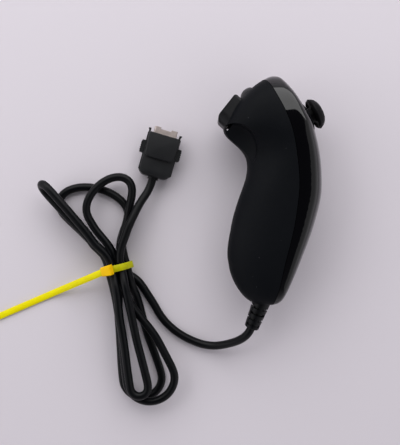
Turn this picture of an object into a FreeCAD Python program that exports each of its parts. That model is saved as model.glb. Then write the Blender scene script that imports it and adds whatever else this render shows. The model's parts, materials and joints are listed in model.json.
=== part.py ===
import FreeCAD, Part
import math
import os
import re

Vector = FreeCAD.Vector
Placement = FreeCAD.Placement
Rotation = FreeCAD.Rotation
os.makedirs("parts", exist_ok=True)
doc = FreeCAD.newDocument("controller")

# Driving dimensions in millimetres and degrees
sizes = {
    "bodyLength": 112.9,
    "bodyWidth": 38.0,
    "bodyDepth": 48.8,
    "shellWall": 2.0,
    "shellCrown": 3.0,
    "partingGap": 0.25,
    "slipClearance": 0.05,
    "movingClearance": 0.35,
    "gateHeight": 36.4,
    "gateTilt": 26.5,
    "gateInner": 6.65,
    "gateOuter": 7.5,
    "gateProud": 0.7,
    "gateDepth": 2.0,
    "pivotDepth": 6.0,
    "capRadius": 7.9,
    "capRim": 2.2,
    "capHeight": 4.2,
    "capCrown": 3.95,
    "capDip": 0.5,
    "neckRadius": 3.7,
    "domeRadius": 7.35,
    "domeWall": 0.5,
    "domeReach": 50.0,
    "shaftRadius": 1.3,
    "shaftTail": 4.6,
    "crossPinRadius": 0.75,
    "journalRadius": 1.3,
    "bailBlockWidth": 6.4,
    "bailBlockLength": 9.0,
    "bailBlockHeight": 5.0,
    "bailSlotLength": 6.6,
    "archInner": 4.6,
    "archOuter": 6.0,
    "archWidth": 4.8,
    "archSlot": 33.0,
    "housingSide": 17.2,
    "housingWall": 1.2,
    "housingTop": 2.0,
    "housingDrop": 9.6,
    "plungerRadius": 3.2,
    "plungerThickness": 0.8,
    "springWire": 0.25,
    "springTurns": 2.0,
    "potThickness": 3.2,
    "potWidth": 8.4,
    "potHeight": 8.4,
    "boardThickness": 1.2,
    "boardWidth": 21.0,
    "boardAbove": 12.7,
    "boardBelow": 34.0,
    "chipSide": 7.0,
    "chipThickness": 1.2,
    "sensorSide": 5.0,
    "sensorThickness": 1.4,
    "capacitorLength": 2.0,
    "capacitorWidth": 1.2,
    "capacitorHeight": 0.9,
    "headerLength": 5.0,
    "headerWidth": 9.0,
    "headerHeight": 4.0,
    "innerLeadRadius": 1.5,
    "boardScrewRadius": 0.9,
    "boardScrewHead": 1.9,
    "boardScrewLength": 4.4,
    "boardBossRadius": 2.1,
    "shellScrewRadius": 1.2,
    "shellScrewHead": 2.3,
    "shellScrewLength": 9.0,
    "shellScrewUpper": -20.0,
    "shellScrewLower": -36.0,
    "shellScrewSeat": -9.0,
    "screwHeadThickness": 1.5,
    "shellBossRadius": 3.2,
    "counterboreRadius": 2.7,
    "counterboreWall": 1.4,
    "buttonLength": 7.1,
    "buttonWidth": 12.4,
    "buttonProud": 2.0,
    "buttonCorner": 3.3,
    "buttonFlange": 0.9,
    "buttonTravel": 1.0,
    "triggerLength": 15.7,
    "triggerWidth": 18.0,
    "triggerProud": 5.66,
    "triggerCorner": 5.5,
    "triggerTopCorner": 1.4,
    "triggerTurn": 6.0,
    "hingePinRadius": 1.0,
    "hingePinLength": 19.2,
    "buttonBoardThickness": 1.0,
    "bracketThickness": 1.2,
    "bracketPostRadius": 1.8,
    "plateLength": 16.6,
    "plateWidth": 22.4,
    "earWidth": 3.4,
    "earThickness": 1.2,
    "earHeight": 6.9,
    "buttonBoardLength": 16.4,
    "buttonBoardWidth": 15.6,
    "padLength": 15.4,
    "padWidth": 11.0,
    "padThickness": 0.5,
    "padDomeRadius": 2.2,
    "padDomeHeight": 0.5,
    "stemRadius": 1.5,
    "bootLength": 14.4,
    "bootRadius": 4.5,
    "bootEndRadius": 3.65,
    "bootCore": 2.9,
    "bootFlangeRadius": 5.4,
    "bootFlange": 1.8,
    "bootSlot": 1.2,
    "cordDiameter": 4.2,
    "strandGap": 0.6,
    "strapThickness": 1.0,
    "strapClearance": 0.3,
    "strapWidth": 3.4,
    "strapHead": 5.4,
    "strapHeadHeight": 4.2,
    "plugWidth": 16.6,
    "plugLength": 22.0,
    "plugBaseHeight": 5.3,
    "plugCoverHeight": 9.0,
    "plugPlateHeight": 10.8,
    "plugPlateLength": 12.6,
    "plugPlateWidth": 13.0,
    "plugSeam": 0.1,
    "plugCorner": 3.6,
    "plugWall": 1.4,
    "plugRoll": 8.0,
    "plugTurn": -15.5,
    "tongueWidth": 12.0,
    "tongueHeight": 5.4,
    "tongueProud": 2.7,
    "tongueWall": 0.6,
    "prongWidth": 3.2,
    "prongProud": 0.9,
    "contactWidth": 0.7,
    "contactPitch": 1.5,
    "latchThickness": 1.4,
    "latchHeight": 4.4,
    "latchPad": 6.4,
    "latchProud": 1.8,
    "latchPinRadius": 0.8,
}
sheet = doc.addObject("Spreadsheet::Sheet", "Sizes")
for row, (name, number) in enumerate(sizes.items(), start=1):
    sheet.set(f"A{row}", name)
    sheet.set(f"B{row}", str(number))
    sheet.setAlias(f"B{row}", name)
doc.recompute()


class SheetReader:
    def __getattr__(self, name):
        return float(getattr(sheet, name))


size = SheetReader()
midPlane = size.bodyWidth / 2

# The outline further down is drawn for these overall sizes and stretched to the sheet's own
outlineLength = 112.9
outlineWidth = 38.0
outlineDepth = 48.8
alongScale = size.bodyLength / outlineLength
sideScale = size.bodyWidth / outlineWidth
depthScale = size.bodyDepth / outlineDepth
finishedParts = []


def linked(text):
    return re.sub(r"[A-Za-z]+", lambda word: "Sizes." + word.group(0), text)


def keep(item, label):
    item.Label = label
    finishedParts.append(item)
    return item


def shapePart(label, shape):
    item = doc.addObject("Part::Feature", label + "Shape")
    item.Shape = shape
    return keep(item, label)


def box(name, dims, corner, frame):
    item = doc.addObject("Part::Box", name)
    for side, text in zip(("Length", "Width", "Height"), dims):
        item.setExpression(side, linked(text))
    item.Placement = frame * Placement(Vector(*corner), Rotation())
    return item


def rod(name, radius, height, base, direction, frame):
    item = doc.addObject("Part::Cylinder", name)
    item.setExpression("Radius", linked(radius))
    item.setExpression("Height", linked(height))
    turn = Rotation(Vector(0, 0, 1), Vector(*direction))
    item.Placement = frame * Placement(Vector(*base), turn)
    return item


def cut(name, base, tool):
    item = doc.addObject("Part::Cut", name)
    item.Base = base
    item.Tool = tool
    return item


def fuse(name, pieces):
    item = doc.addObject("Part::MultiFuse", name)
    item.Shapes = pieces
    return item


def group(name, pieces):
    item = doc.addObject("Part::Compound", name)
    item.Links = pieces
    return item


# Frames: the stick's pivot, the sloping button face, the strain relief and the plug
def frameAt(origin, angle):
    return Placement(origin, Rotation(Vector(0, 0, 1), angle))


def bodyPoint(depth, height, side=0.0):
    return Vector(depth * depthScale, height * alongScale, midPlane + side * sideScale)


def solidCylinder(radius, height, base, direction, frame):
    shape = Part.makeCylinder(radius, height, Vector(*base), Vector(*direction))
    shape.Placement = frame
    return shape


# Outline of the handset: height, rear, widest place, front, half width, roundness of the rear
stations = [
    (-56.2, -6.6, -2.0, 1.5, 4.6, 2.2),
    (-55.6, -8.9, -0.9, 3.0, 6.8, 2.2),
    (-54.2, -11.6, 0.3, 4.9, 8.8, 2.2),
    (-51.0, -15.0, 2.4, 6.9, 10.8, 2.3),
    (-46.0, -18.3, 4.2, 9.2, 12.4, 2.3),
    (-39.3, -20.9, 5.7, 12.1, 13.8, 2.3),
    (-31.0, -22.0, 7.6, 15.4, 14.9, 2.3),
    (-22.0, -21.0, 10.0, 18.8, 15.7, 2.3),
    (-12.0, -18.9, 12.1, 21.9, 16.3, 2.3),
    (-2.0, -15.7, 13.6, 24.0, 16.8, 2.3),
    (6.0, -13.0, 13.8, 24.2, 17.1, 2.2),
    (12.0, -12.2, 13.5, 23.9, 17.5, 2.0),
    (17.0, -13.2, 13.0, 23.3, 17.9, 1.85),
    (21.5, -16.6, 12.4, 22.5, 18.2, 1.85),
    (25.5, -21.1, 11.7, 21.5, 18.6, 2.0),
    (28.5, -23.5, 11.1, 20.7, 18.9, 2.3),
    (31.5, -24.0, 10.6, 19.9, 19.0, 2.55),
    (35.0, -22.7, 9.3, 18.2, 18.9, 2.7),
    (39.0, -20.4, 7.6, 16.0, 18.5, 2.8),
    (43.0, -17.7, 5.8, 13.7, 17.6, 2.8),
    (47.0, -13.9, 3.6, 11.2, 16.0, 2.8),
    (50.5, -10.2, 1.2, 8.7, 13.7, 2.7),
    (53.3, -6.6, 0.4, 6.3, 10.8, 2.5),
    (55.2, -3.4, 0.3, 4.3, 7.4, 2.3),
    (56.4, -0.6, 0.7, 2.2, 3.4, 2.2),
]
edgeSharpness = 6.0
crownFullDepth = 10.0
rearSteps = 9
frontSteps = 11


def halfSection(rear, wide, front, width, roundness):
    points = []
    for step in range(rearSteps):
        angle = math.pi / 2 * step / rearSteps
        depth = wide - (wide - rear) * math.cos(angle) ** (2 / roundness)
        points.append((depth, width * math.sin(angle) ** (2 / roundness)))
    crown = size.shellCrown * min(1.0, (front - wide) / crownFullDepth)
    for step in range(frontSteps + 1):
        angle = math.pi / 2 * (1 - step / frontSteps)
        share = math.sin(angle) ** (2 / edgeSharpness)
        reach = math.cos(angle) ** (2 / edgeSharpness)
        points.append((wide + (front - wide - crown * share ** 2) * reach, width * share))
    return points


def sectionLoop(station):
    height, rear, wide, front, width, roundness = station
    half = halfSection(rear, wide, front, width, roundness)
    loop = [Vector(x, height, midPlane + z) for x, z in half]
    loop += [Vector(x, height, midPlane - z) for x, z in half[-2:0:-1]]
    return loop


def loftStations(rows):
    middle = sectionLoop(rows[len(rows) // 2 - 3])
    run = [0.0]
    for index, point in enumerate(middle):
        run.append(run[-1] + point.distanceToPoint(middle[(index + 1) % len(middle)]))
    parameters = [value / run[-1] for value in run]
    wires = []
    for row in rows:
        curve = Part.BSplineCurve()
        curve.interpolate(Points=sectionLoop(row), PeriodicFlag=True, Parameters=parameters)
        wires.append(Part.Wire([curve.toShape()]))
    return Part.makeLoft(wires, True, False, False, 5)


def outerStations():
    rows = []
    for height, rear, wide, front, width, roundness in stations:
        rows.append((height * alongScale, rear * depthScale, wide * depthScale,
                     front * depthScale, width * sideScale, roundness))
    return rows


def offsetCurve(rows, column, inset):
    # The profile is moved inwards along its own normal, towards the middle of the body
    curve = Part.BSplineCurve()
    curve.interpolate([Vector(row[0], row[column], 0) for row in rows])
    samples = []
    count = 400
    for step in range(count + 1):
        parameter = curve.FirstParameter + (curve.LastParameter - curve.FirstParameter) * step / count
        point = curve.value(parameter)
        tangent = curve.tangent(parameter)[0]
        samples.append((point.x + inset * tangent.y, point.y - inset * tangent.x))
    return samples


def valueAt(samples, height, choose=min):
    # An offset curve can fold back on itself, and the innermost branch is the wall
    found = []
    for first, second in zip(samples[:-1], samples[1:]):
        if min(first[0], second[0]) <= height <= max(first[0], second[0]) and second[0] != first[0]:
            share = (height - first[0]) / (second[0] - first[0])
            found.append(first[1] + (second[1] - first[1]) * share)
    if found:
        return choose(found)
    return samples[0][1] if height < samples[0][0] else samples[-1][1]


def insetBody(inset):
    rows = outerStations()
    rear = offsetCurve(rows, 1, -inset)
    front = offsetCurve(rows, 3, inset)
    width = offsetCurve(rows, 4, inset)
    low = rows[0][0] + inset * 1.25
    high = rows[-1][0] - inset * 1.4
    inner = []
    heights = [low] + [row[0] for row in rows if low + 1.6 < row[0] < high - 1.6] + [high]
    wideLine = [(row[0], row[2]) for row in rows]
    roundLine = [(row[0], row[5]) for row in rows]
    for height in heights:
        back = valueAt(rear, height, max)
        face = valueAt(front, height)
        wide = min(valueAt(wideLine, height), face - 0.8)
        wide = max(wide, back + 0.8)
        inner.append((height, back, wide, face, valueAt(width, height), valueAt(roundLine, height)))
    return loftStations(inner)


# Finger hollow below the trigger: circles that move from the middle plane to each side
hollowSide = (-20.3, 19.6, 12.5)
hollowMiddle = (-30.0, 12.0, 14.0)
hollowSpread = 9.0
hollowReach = 22.0


def hollow(grow):
    wires = []
    steps = 14
    for step in range(-steps, steps + 1):
        side = hollowReach * step / steps
        share = min(1.0, abs(side) / hollowSpread)
        share = share * share * (3 - 2 * share)
        depth = hollowMiddle[0] + (hollowSide[0] - hollowMiddle[0]) * share
        height = hollowMiddle[1] + (hollowSide[1] - hollowMiddle[1]) * share
        radius = hollowMiddle[2] + (hollowSide[2] - hollowMiddle[2]) * share
        centre = bodyPoint(depth, height, side)
        wires.append(Part.Wire([Part.makeCircle(radius * depthScale + grow, centre)]))
    return Part.makeLoft(wires, True, False, False, 5)


# Parting line between the rear and the front shell, seen from the side
partingLine = [
    (-15.5, 61.0), (-10.5, 58.0), (-6.0, 54.8), (-3.4, 52.6), (-1.5, 49.8), (0.4, 46.0), (2.4, 42.0),
    (5.6, 35.3), (8.8, 25.9), (10.6, 15.4), (11.6, 5.5), (11.5, -1.0), (10.6, -9.5), (9.0, -19.4),
    (6.7, -29.4), (4.4, -39.3), (2.3, -49.3), (0.3, -55.6), (-1.1, -61.0),
]


def sideRegion(shift, towardsFront, low=-2.0):
    points = [Vector(x * depthScale + shift, y * alongScale, 0) for x, y in partingLine]
    curve = Part.BSplineCurve()
    curve.interpolate(points)
    far = size.bodyDepth * 1.5 * (1 if towardsFront else -1)
    start = curve.StartPoint
    end = curve.EndPoint
    edges = [curve.toShape(),
             Part.LineSegment(end, Vector(far, end.y, 0)).toShape(),
             Part.LineSegment(Vector(far, end.y, 0), Vector(far, start.y, 0)).toShape(),
             Part.LineSegment(Vector(far, start.y, 0), start).toShape()]
    face = Part.Face(Part.Wire(edges))
    solid = face.extrude(Vector(0, 0, size.bodyWidth + 4))
    solid.translate(Vector(0, 0, low))
    return solid


# The hollow body, and an inner limit that bosses reach into the wall as far as
outerBody = loftStations(outerStations()).cut(hollow(0.0))
cavity = insetBody(size.shellWall).cut(hollow(size.shellWall))
shellSkin = outerBody.cut(cavity)

# The two mouldings never share a surface: the front one sits a hair nearer the nose
mouldStep = Vector(0.0, 0.05, 0.0)
frontSkin = shellSkin.copy()
frontSkin.translate(mouldStep)
bossLimit = insetBody(size.shellWall / 2).cut(hollow(size.shellWall / 2))

# Frames for what the shells hold
outerRows = outerStations()
frontLine = [(row[0], row[3]) for row in outerRows]
gateHeight = size.gateHeight * alongScale
gateCentre = Vector(valueAt(frontLine, gateHeight), gateHeight, midPlane)
stickAxis = Vector(math.cos(math.radians(size.gateTilt)), math.sin(math.radians(size.gateTilt)), 0)
stickFrame = frameAt(gateCentre - stickAxis * size.pivotDepth, size.gateTilt)
buttonFaceAngle = 138.2
buttonFrame = frameAt(bodyPoint(-15.7, 41.3), buttonFaceAngle)
bootAxis = Vector(-0.348, -0.926, -0.15)
bootFrame = Placement(bodyPoint(-4.9, -55.0), Rotation(Vector(1, 0, 0), bootAxis))


# Plan outlines on the button face, in its frame: x outwards, y towards the nose, z across
def roundedPlan(middle, length, width, topCorner, lowCorner, grow=0.0):
    top = middle - length / 2 - grow
    low = middle + length / 2 + grow
    half = width / 2 + grow
    first = topCorner + grow
    last = lowCorner + grow
    corners = [(top, -half + first), (top, half - first), (top + first, half), (low - last, half),
               (low, half - last), (low, -half + last), (low - last, -half), (top + first, -half)]
    points = [Vector(0, y, z) for y, z in corners]
    centres = [(top + first, half - first, first), (low - last, half - last, last),
               (low - last, -half + last, last), (top + first, -half + first, first)]
    turns = [(-1, 1), (1, 1), (1, -1), (-1, -1)]
    edges = []
    for index in range(4):
        start = points[2 * index]
        end = points[2 * index + 1]
        if start.distanceToPoint(end) > 0.01:
            edges.append(Part.LineSegment(start, end).toShape())
        y, z, radius = centres[index]
        dy, dz = turns[index]
        bulge = Vector(0, y + dy * radius * math.sqrt(0.5), z + dz * radius * math.sqrt(0.5))
        following = points[(2 * index + 2) % 8]
        edges.append(Part.Arc(end, bulge, following).toShape())
    return Part.Face(Part.Wire(edges))


def raised(face, low, high):
    solid = face.extrude(Vector(high - low, 0, 0))
    solid.translate(Vector(low, 0, 0))
    return solid


def inFrame(shape, frame):
    moved = shape.copy()
    moved.Placement = frame.multiply(moved.Placement)
    return moved


faceBulge = 2.45
buttonMiddle = -7.2
triggerMiddle = 5.25
triggerFloor = -1.2
openingFloor = -3.2
buttonPlan = (buttonMiddle, size.buttonLength, size.buttonWidth, size.buttonCorner, size.buttonCorner)
triggerPlan = (triggerMiddle, size.triggerLength, size.triggerWidth, size.triggerTopCorner, size.triggerCorner)
openings = [inFrame(raised(roundedPlan(*plan, grow=size.movingClearance), openingFloor, 12.0), buttonFrame)
            for plan in (buttonPlan, triggerPlan)]

# Room under the trigger for its hinge ears
earRoom = Part.makeBox(9.0, 6.2, size.triggerWidth + 2 * size.movingClearance,
                       Vector(-9.0, -3.4, -size.triggerWidth / 2 - size.movingClearance))
openings.append(inFrame(earRoom, buttonFrame))

# Opening for the gate ring, and the board's bosses behind the front face
gateHole = solidCylinder(size.gateOuter + size.slipClearance, 16.0, (1.0, 0, 0), (1, 0, 0), stickFrame)
boardFace = -size.housingDrop
boardScrewPlaces = [(11.0, 0.0), (-29.0, 6.5), (-29.0, -6.5)]
frontBosses = []
frontDrills = []
rearBosses = []
rearDrills = []
for along, side in boardScrewPlaces:
    frontBosses.append(solidCylinder(size.boardBossRadius, 20.0, (boardFace, along, side), (1, 0, 0),
                                     stickFrame))
    frontDrills.append(solidCylinder(size.boardScrewRadius + size.slipClearance, size.boardScrewLength,
                                     (boardFace - size.boardThickness, along, side), (1, 0, 0), stickFrame))

# Strain relief hole with a flat seat for its flange
bootHole = solidCylinder(size.bootRadius + size.slipClearance, 12.0, (-6.0, 0, 0), (1, 0, 0), bootFrame)
bootSeat = solidCylinder(size.bootFlangeRadius + size.movingClearance, 3.0, (-4.7, 0, 0), (1, 0, 0), bootFrame)

# Two shell screws in counterbored tubes, driven from the rear into long front bosses
shellSeat = size.shellScrewSeat * depthScale
seatWall = 2.0
shellScrewPlaces = [(size.shellScrewUpper * alongScale, 0.0), (size.shellScrewLower * alongScale, 0.0)]
shellScrewFrame = Placement(Vector(0, 0, midPlane), Rotation())
for along, side in shellScrewPlaces:
    frame = Placement(Vector(0, along, midPlane + side), Rotation())
    rearBosses.append(solidCylinder(size.counterboreRadius + size.counterboreWall, 20.0,
                                    (shellSeat + seatWall - 20.0, 0, 0), (1, 0, 0), frame))
    rearDrills.append(solidCylinder(size.counterboreRadius, 30.0, (shellSeat - 30.0, 0, 0), (1, 0, 0), frame))
    rearDrills.append(solidCylinder(size.shellScrewRadius + size.slipClearance, 20.0,
                                    (shellSeat - 1.0, 0, 0), (1, 0, 0), frame))
    frontBosses.append(solidCylinder(size.shellBossRadius, 40.0,
                                     (shellSeat + seatWall + size.slipClearance, 0, 0), (1, 0, 0), frame))
    frontDrills.append(solidCylinder(size.shellScrewRadius + size.slipClearance, size.shellScrewLength + 0.4,
                                     (shellSeat, 0, 0), (1, 0, 0), frame))

# Posts inside the rear shell that carry the button bracket
boardTop = -6.4
bracketTop = boardTop - size.buttonBoardThickness
postPlaces = [(-10.4, 10.4), (-10.4, -10.4), (2.0, 11.2), (2.0, -11.2)]
for along, side in postPlaces:
    rearBosses.append(solidCylinder(size.bracketPostRadius, 12.0, (bracketTop, along, side), (1, 0, 0),
                                    buttonFrame))
    rearDrills.append(solidCylinder(size.boardScrewRadius + size.slipClearance, 3.4,
                                    (bracketTop, along, side), (1, 0, 0), buttonFrame))

rearBosses = [boss.common(bossLimit) for boss in rearBosses]
frontBosses = [boss.common(bossLimit) for boss in frontBosses]
rearShape = shellSkin.common(sideRegion(-size.partingGap, False)).fuse(rearBosses)
rearShape = rearShape.cut(openings + [bootHole, bootSeat] + rearDrills)
frontShape = frontSkin.common(sideRegion(0.0, True)).fuse(frontBosses)
frontShape = frontShape.cut([gateHole, bootHole, bootSeat] + frontDrills)
shapePart("rear_shell", rearShape)
shapePart("front_shell", frontShape)


# Thumbstick module, in the stick's frame: x outwards, y up the face, z across
def revolved(points, frame):
    # Points are (along x, radius), turned about the x axis
    face = Part.Face(Part.makePolygon([Vector(x, r, 0) for x, r in points + points[:1]]))
    solid = face.revolve(Vector(0, 0, 0), Vector(1, 0, 0), 360)
    return inFrame(solid, frame)


gateTop = size.pivotDepth + size.gateProud
gateLow = size.pivotDepth - size.gateDepth
shapePart("stick_gate_ring", revolved([
    (gateLow, size.gateInner), (gateLow, size.gateOuter), (gateTop - 0.4, size.gateOuter),
    (gateTop, size.gateOuter - 0.3), (gateTop, size.gateInner + 0.25), (gateTop - 0.4, size.gateInner)],
    stickFrame))

rimMiddle = size.pivotDepth + size.capHeight
rimLow = rimMiddle - size.capRim / 2
rimHigh = rimMiddle + size.capRim / 2
capTop = rimMiddle + size.capCrown
neckLow = math.sqrt(size.domeRadius ** 2 - size.neckRadius ** 2)


def capProfile():
    bore = size.shaftRadius + size.slipClearance
    boreTop = rimHigh - 0.6
    inner = size.domeRadius - size.domeWall
    reach = math.radians(size.domeReach)
    half = reach * 0.6
    neckBend = 0.5 * (neckLow + rimLow)
    start = Vector(boreTop, 0, 0)
    corner = Vector(boreTop, bore, 0)
    boreLow = Vector(math.sqrt(inner ** 2 - bore ** 2), bore, 0)
    innerEnd = Vector(inner * math.cos(reach), inner * math.sin(reach), 0)
    innerMid = Vector(inner * math.cos(half), inner * math.sin(half), 0)
    outerEnd = Vector(size.domeRadius * math.cos(reach), size.domeRadius * math.sin(reach), 0)
    outerStart = Vector(neckLow, size.neckRadius, 0)
    rise = math.asin(size.neckRadius / size.domeRadius)
    between = (reach + rise) / 2
    outerMid = Vector(size.domeRadius * math.cos(between), size.domeRadius * math.sin(between), 0)
    neckTop = Vector(rimLow + 0.2, size.neckRadius + 0.25, 0)
    neckMid = Vector(neckBend, size.neckRadius - 0.15, 0)
    hollowTop = Vector(rimLow + 0.9, size.capRadius * 0.72, 0)
    rimInner = Vector(rimLow, size.capRadius - 0.7, 0)
    rimSide = Vector(rimMiddle - 0.1, size.capRadius, 0)
    rimUpper = Vector(rimHigh - 0.35, size.capRadius - 0.35, 0)
    crownEdge = Vector(capTop - 0.25, size.capRadius * 0.42, 0)
    crownMid = Vector(rimHigh + (capTop - rimHigh) * 0.62, size.capRadius * 0.74, 0)
    dip = Vector(capTop - size.capDip, 0, 0)
    dipEdge = Vector(capTop - 0.02, size.capRadius * 0.36, 0)
    dipDepth = dipEdge.x - dip.x
    dipRadius = (dipDepth ** 2 + dipEdge.y ** 2) / (2 * dipDepth)
    dipTurn = math.asin(dipEdge.y / dipRadius) / 2
    dipMid = dip + Vector(dipRadius * (1 - math.cos(dipTurn)), dipRadius * math.sin(dipTurn), 0)
    edges = [Part.LineSegment(start, corner), Part.LineSegment(corner, boreLow),
             Part.Arc(boreLow, innerMid, innerEnd), Part.LineSegment(innerEnd, outerEnd),
             Part.Arc(outerEnd, outerMid, outerStart), Part.Arc(outerStart, neckMid, neckTop),
             Part.Arc(neckTop, hollowTop, rimInner), Part.LineSegment(rimInner, rimSide),
             Part.Arc(rimSide, Vector(rimHigh - 0.9, size.capRadius - 0.06, 0), rimUpper),
             Part.Arc(rimUpper, crownMid, dipEdge), Part.Arc(dipEdge, dipMid, dip),
             Part.LineSegment(dip, start)]
    return Part.Face(Part.Wire([edge.toShape() for edge in edges]))


shapePart("stick_cap", inFrame(capProfile().revolve(Vector(), Vector(1, 0, 0), 360), stickFrame))
shaft = rod("ShaftRod", "shaftRadius", "shaftTail + pivotDepth + capHeight + capRim / 2 - 0.8",
            (-size.shaftTail, 0, 0), (1, 0, 0), stickFrame)
crossPin = rod("CrossPin", "crossPinRadius", "bailBlockWidth - 0.2",
               (0, 0.1 - size.bailBlockWidth / 2, 0), (0, 1, 0), stickFrame)
keep(fuse("ShaftFuse", [shaft, crossPin]), "stick_shaft")

# Lower bail: a slotted block that turns about z and carries the cross pin
blockHalfWidth = size.bailBlockWidth / 2
blockHalfLength = size.bailBlockLength / 2
blockHalfHeight = size.bailBlockHeight / 2
wallInner = size.housingSide / 2 - size.housingWall
block = box("BailBlock", ("bailBlockHeight", "bailBlockWidth", "bailBlockLength"),
            (-blockHalfHeight, -blockHalfWidth, -blockHalfLength), stickFrame)
journalEnd = size.housingSide / 2 + size.potThickness - 0.6
slot = box("BailSlot", ("bailBlockHeight + 2", "2 * (shaftRadius + movingClearance)", "bailSlotLength"),
           (-blockHalfHeight - 1, -size.shaftRadius - size.movingClearance, -size.bailSlotLength / 2),
           stickFrame)
pinBore = rod("BailPinBore", "crossPinRadius + slipClearance", "bailBlockWidth + 2",
              (0, -blockHalfWidth - 1, 0), (0, 1, 0), stickFrame)
driveEnd = rod("LowerDriveJournal", "journalRadius", "housingSide / 2 + potThickness - 0.6 - bailBlockLength / 2",
               (0, 0, blockHalfLength), (0, 0, 1), stickFrame)
idleEnd = rod("LowerIdleJournal", "journalRadius", "housingSide / 2 - bailBlockLength / 2",
              (0, 0, -blockHalfLength), (0, 0, -1), stickFrame)
bailBody = fuse("LowerBailFuse", [block, driveEnd, idleEnd])
keep(cut("LowerBail", cut("LowerBailSlotted", bailBody, slot), pinBore), "stick_bail_lower")


# Upper bail: an arch that turns about y, with a slot along it for the shaft
def upperBail():
    half = size.archWidth / 2
    ring = Part.makeCylinder(size.archOuter, size.archWidth, Vector(0, 0, -half))
    ring = ring.cut(Part.makeCylinder(size.archInner, size.archWidth, Vector(0, 0, -half)))
    ring = ring.common(Part.makeBox(size.archOuter, 2 * size.archOuter, size.archWidth,
                                    Vector(0, -size.archOuter, -half)))
    for way in (-1, 1):
        boss = Part.makeCylinder(half, size.archOuter - size.archInner, Vector(0, way * size.archInner, 0),
                                 Vector(0, way, 0))
        reach = wallInner + size.housingWall if way > 0 else journalEnd
        journal = Part.makeCylinder(size.journalRadius, reach - size.archInner,
                                    Vector(0, way * size.archInner, 0), Vector(0, way, 0))
        ring = ring.fuse(boss).fuse(journal)
    slotHalf = size.shaftRadius + size.movingClearance
    reach = size.archOuter * math.sin(math.radians(size.archSlot))
    ring = ring.cut(Part.makeBox(size.archOuter + 1, 2 * reach, 2 * slotHalf, Vector(1.5, -reach, -slotHalf)))
    return ring.removeSplitter()


shapePart("stick_bail_upper", inFrame(upperBail(), stickFrame))

# Housing: an open box whose walls hold the journals
outerCase = box("HousingOuter", ("housingDrop + housingTop", "housingSide", "housingSide"),
                (-size.housingDrop, -size.housingSide / 2, -size.housingSide / 2), stickFrame)
floorTop = -size.housingDrop + size.housingWall
innerCase = box("HousingInner", ("housingDrop + housingTop", "housingSide - 2 * housingWall",
                                 "housingSide - 2 * housingWall"),
                (floorTop, -wallInner, -wallInner), stickFrame)
acrossBore = rod("HousingBoreAcross", "journalRadius + slipClearance", "housingSide + 2",
                 (0, 0, -size.housingSide / 2 - 1), (0, 0, 1), stickFrame)
alongBore = rod("HousingBoreAlong", "journalRadius + slipClearance", "housingSide + 2",
                (0, -size.housingSide / 2 - 1, 0), (0, 1, 0), stickFrame)
keep(cut("Housing", cut("HousingOpen", outerCase, innerCase), fuse("HousingBores", [acrossBore, alongBore])),
     "stick_housing")

plungerTop = -size.shaftTail - size.movingClearance
plunger = rod("PlungerDisc", "plungerRadius", "plungerThickness",
              (plungerTop - size.plungerThickness, 0, 0), (1, 0, 0), stickFrame)
keep(plunger, "stick_plunger")


def biarcPath(points, tangents):
    edges = []
    for index in range(len(points) - 1):
        first, last = points[index], points[index + 1]
        leave, arrive = tangents[index], tangents[index + 1]
        chord = last - first
        total = leave + arrive
        spread = 2 * (1 - leave.dot(arrive))
        if spread < 1e-9:
            reach = chord.dot(chord) / (2 * chord.dot(total) / 2) / 2
        else:
            reach = (-chord.dot(total) + math.sqrt(chord.dot(total) ** 2 + spread * chord.dot(chord))) / spread
        middle = (first + leave * reach + last - arrive * reach) * 0.5
        edges.append(tangentArc(first, leave, middle))
        ahead = (last - arrive * reach) - (first + leave * reach)
        edges.append(tangentArc(middle, ahead.normalize(), last))
    return edges


def tangentArc(start, tangent, end):
    chord = end - start
    across = chord - tangent * chord.dot(tangent)
    if across.Length < 1e-5 * chord.Length:
        return Part.LineSegment(start, end).toShape()
    across.normalize()
    radius = chord.dot(chord) / (2 * chord.dot(across))
    centre = start + across * radius
    outward = (start + chord * 0.5) - centre
    if chord.dot(tangent) < 0:
        outward = outward * -1
    outward.normalize()
    return Part.Arc(start, centre + outward * radius, end).toShape()


def sweepRound(edges, radius):
    path = Part.Wire(edges)
    start = path.Edges[0].valueAt(path.Edges[0].FirstParameter)
    ahead = path.Edges[0].tangentAt(path.Edges[0].FirstParameter)
    ring = Part.Wire([Part.makeCircle(radius, start, ahead)])
    return path.makePipeShell([ring], True, False)


def coilSpring():
    # A helix of steady pitch about x, in quarter turns joined by pairs of arcs
    low = floorTop + size.springWire
    high = plungerTop - size.plungerThickness - size.springWire
    radius = size.plungerRadius - 2 * size.springWire
    steps = int(round(size.springTurns * 4))
    points = []
    tangents = []
    rise = (high - low) / (2 * math.pi * size.springTurns)
    for step in range(steps + 1):
        angle = 2 * math.pi * size.springTurns * step / steps
        points.append(Vector(low + rise * angle, radius * math.cos(angle), radius * math.sin(angle)))
        tangents.append(Vector(rise, -radius * math.sin(angle), radius * math.cos(angle)).normalize())
    return sweepRound(biarcPath(points, tangents), size.springWire)


shapePart("stick_spring", inFrame(coilSpring(), stickFrame))

# Two potentiometers on the housing's walls, each with a bore for its journal
potLow = -6.5
for name, axis, way in (("stick_pot_tilt", "z", 1), ("stick_pot_swing", "y", -1)):
    half = size.potWidth / 2
    near = way * size.housingSide / 2
    far = near + way * size.potThickness
    low = min(near, far)
    if axis == "z":
        case = box(name + "Case", ("potHeight", "potWidth", "potThickness"), (potLow, -half, low), stickFrame)
        bore = rod(name + "Bore", "journalRadius + slipClearance", "potThickness - 0.4",
                   (0, 0, near), (0, 0, way), stickFrame)
    else:
        case = box(name + "Case", ("potHeight", "potThickness", "potWidth"), (potLow, low, -half), stickFrame)
        bore = rod(name + "Bore", "journalRadius + slipClearance", "potThickness - 0.4",
                   (0, near, 0), (0, way, 0), stickFrame)
    keep(cut(name + "Cut", case, bore), name)

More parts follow.
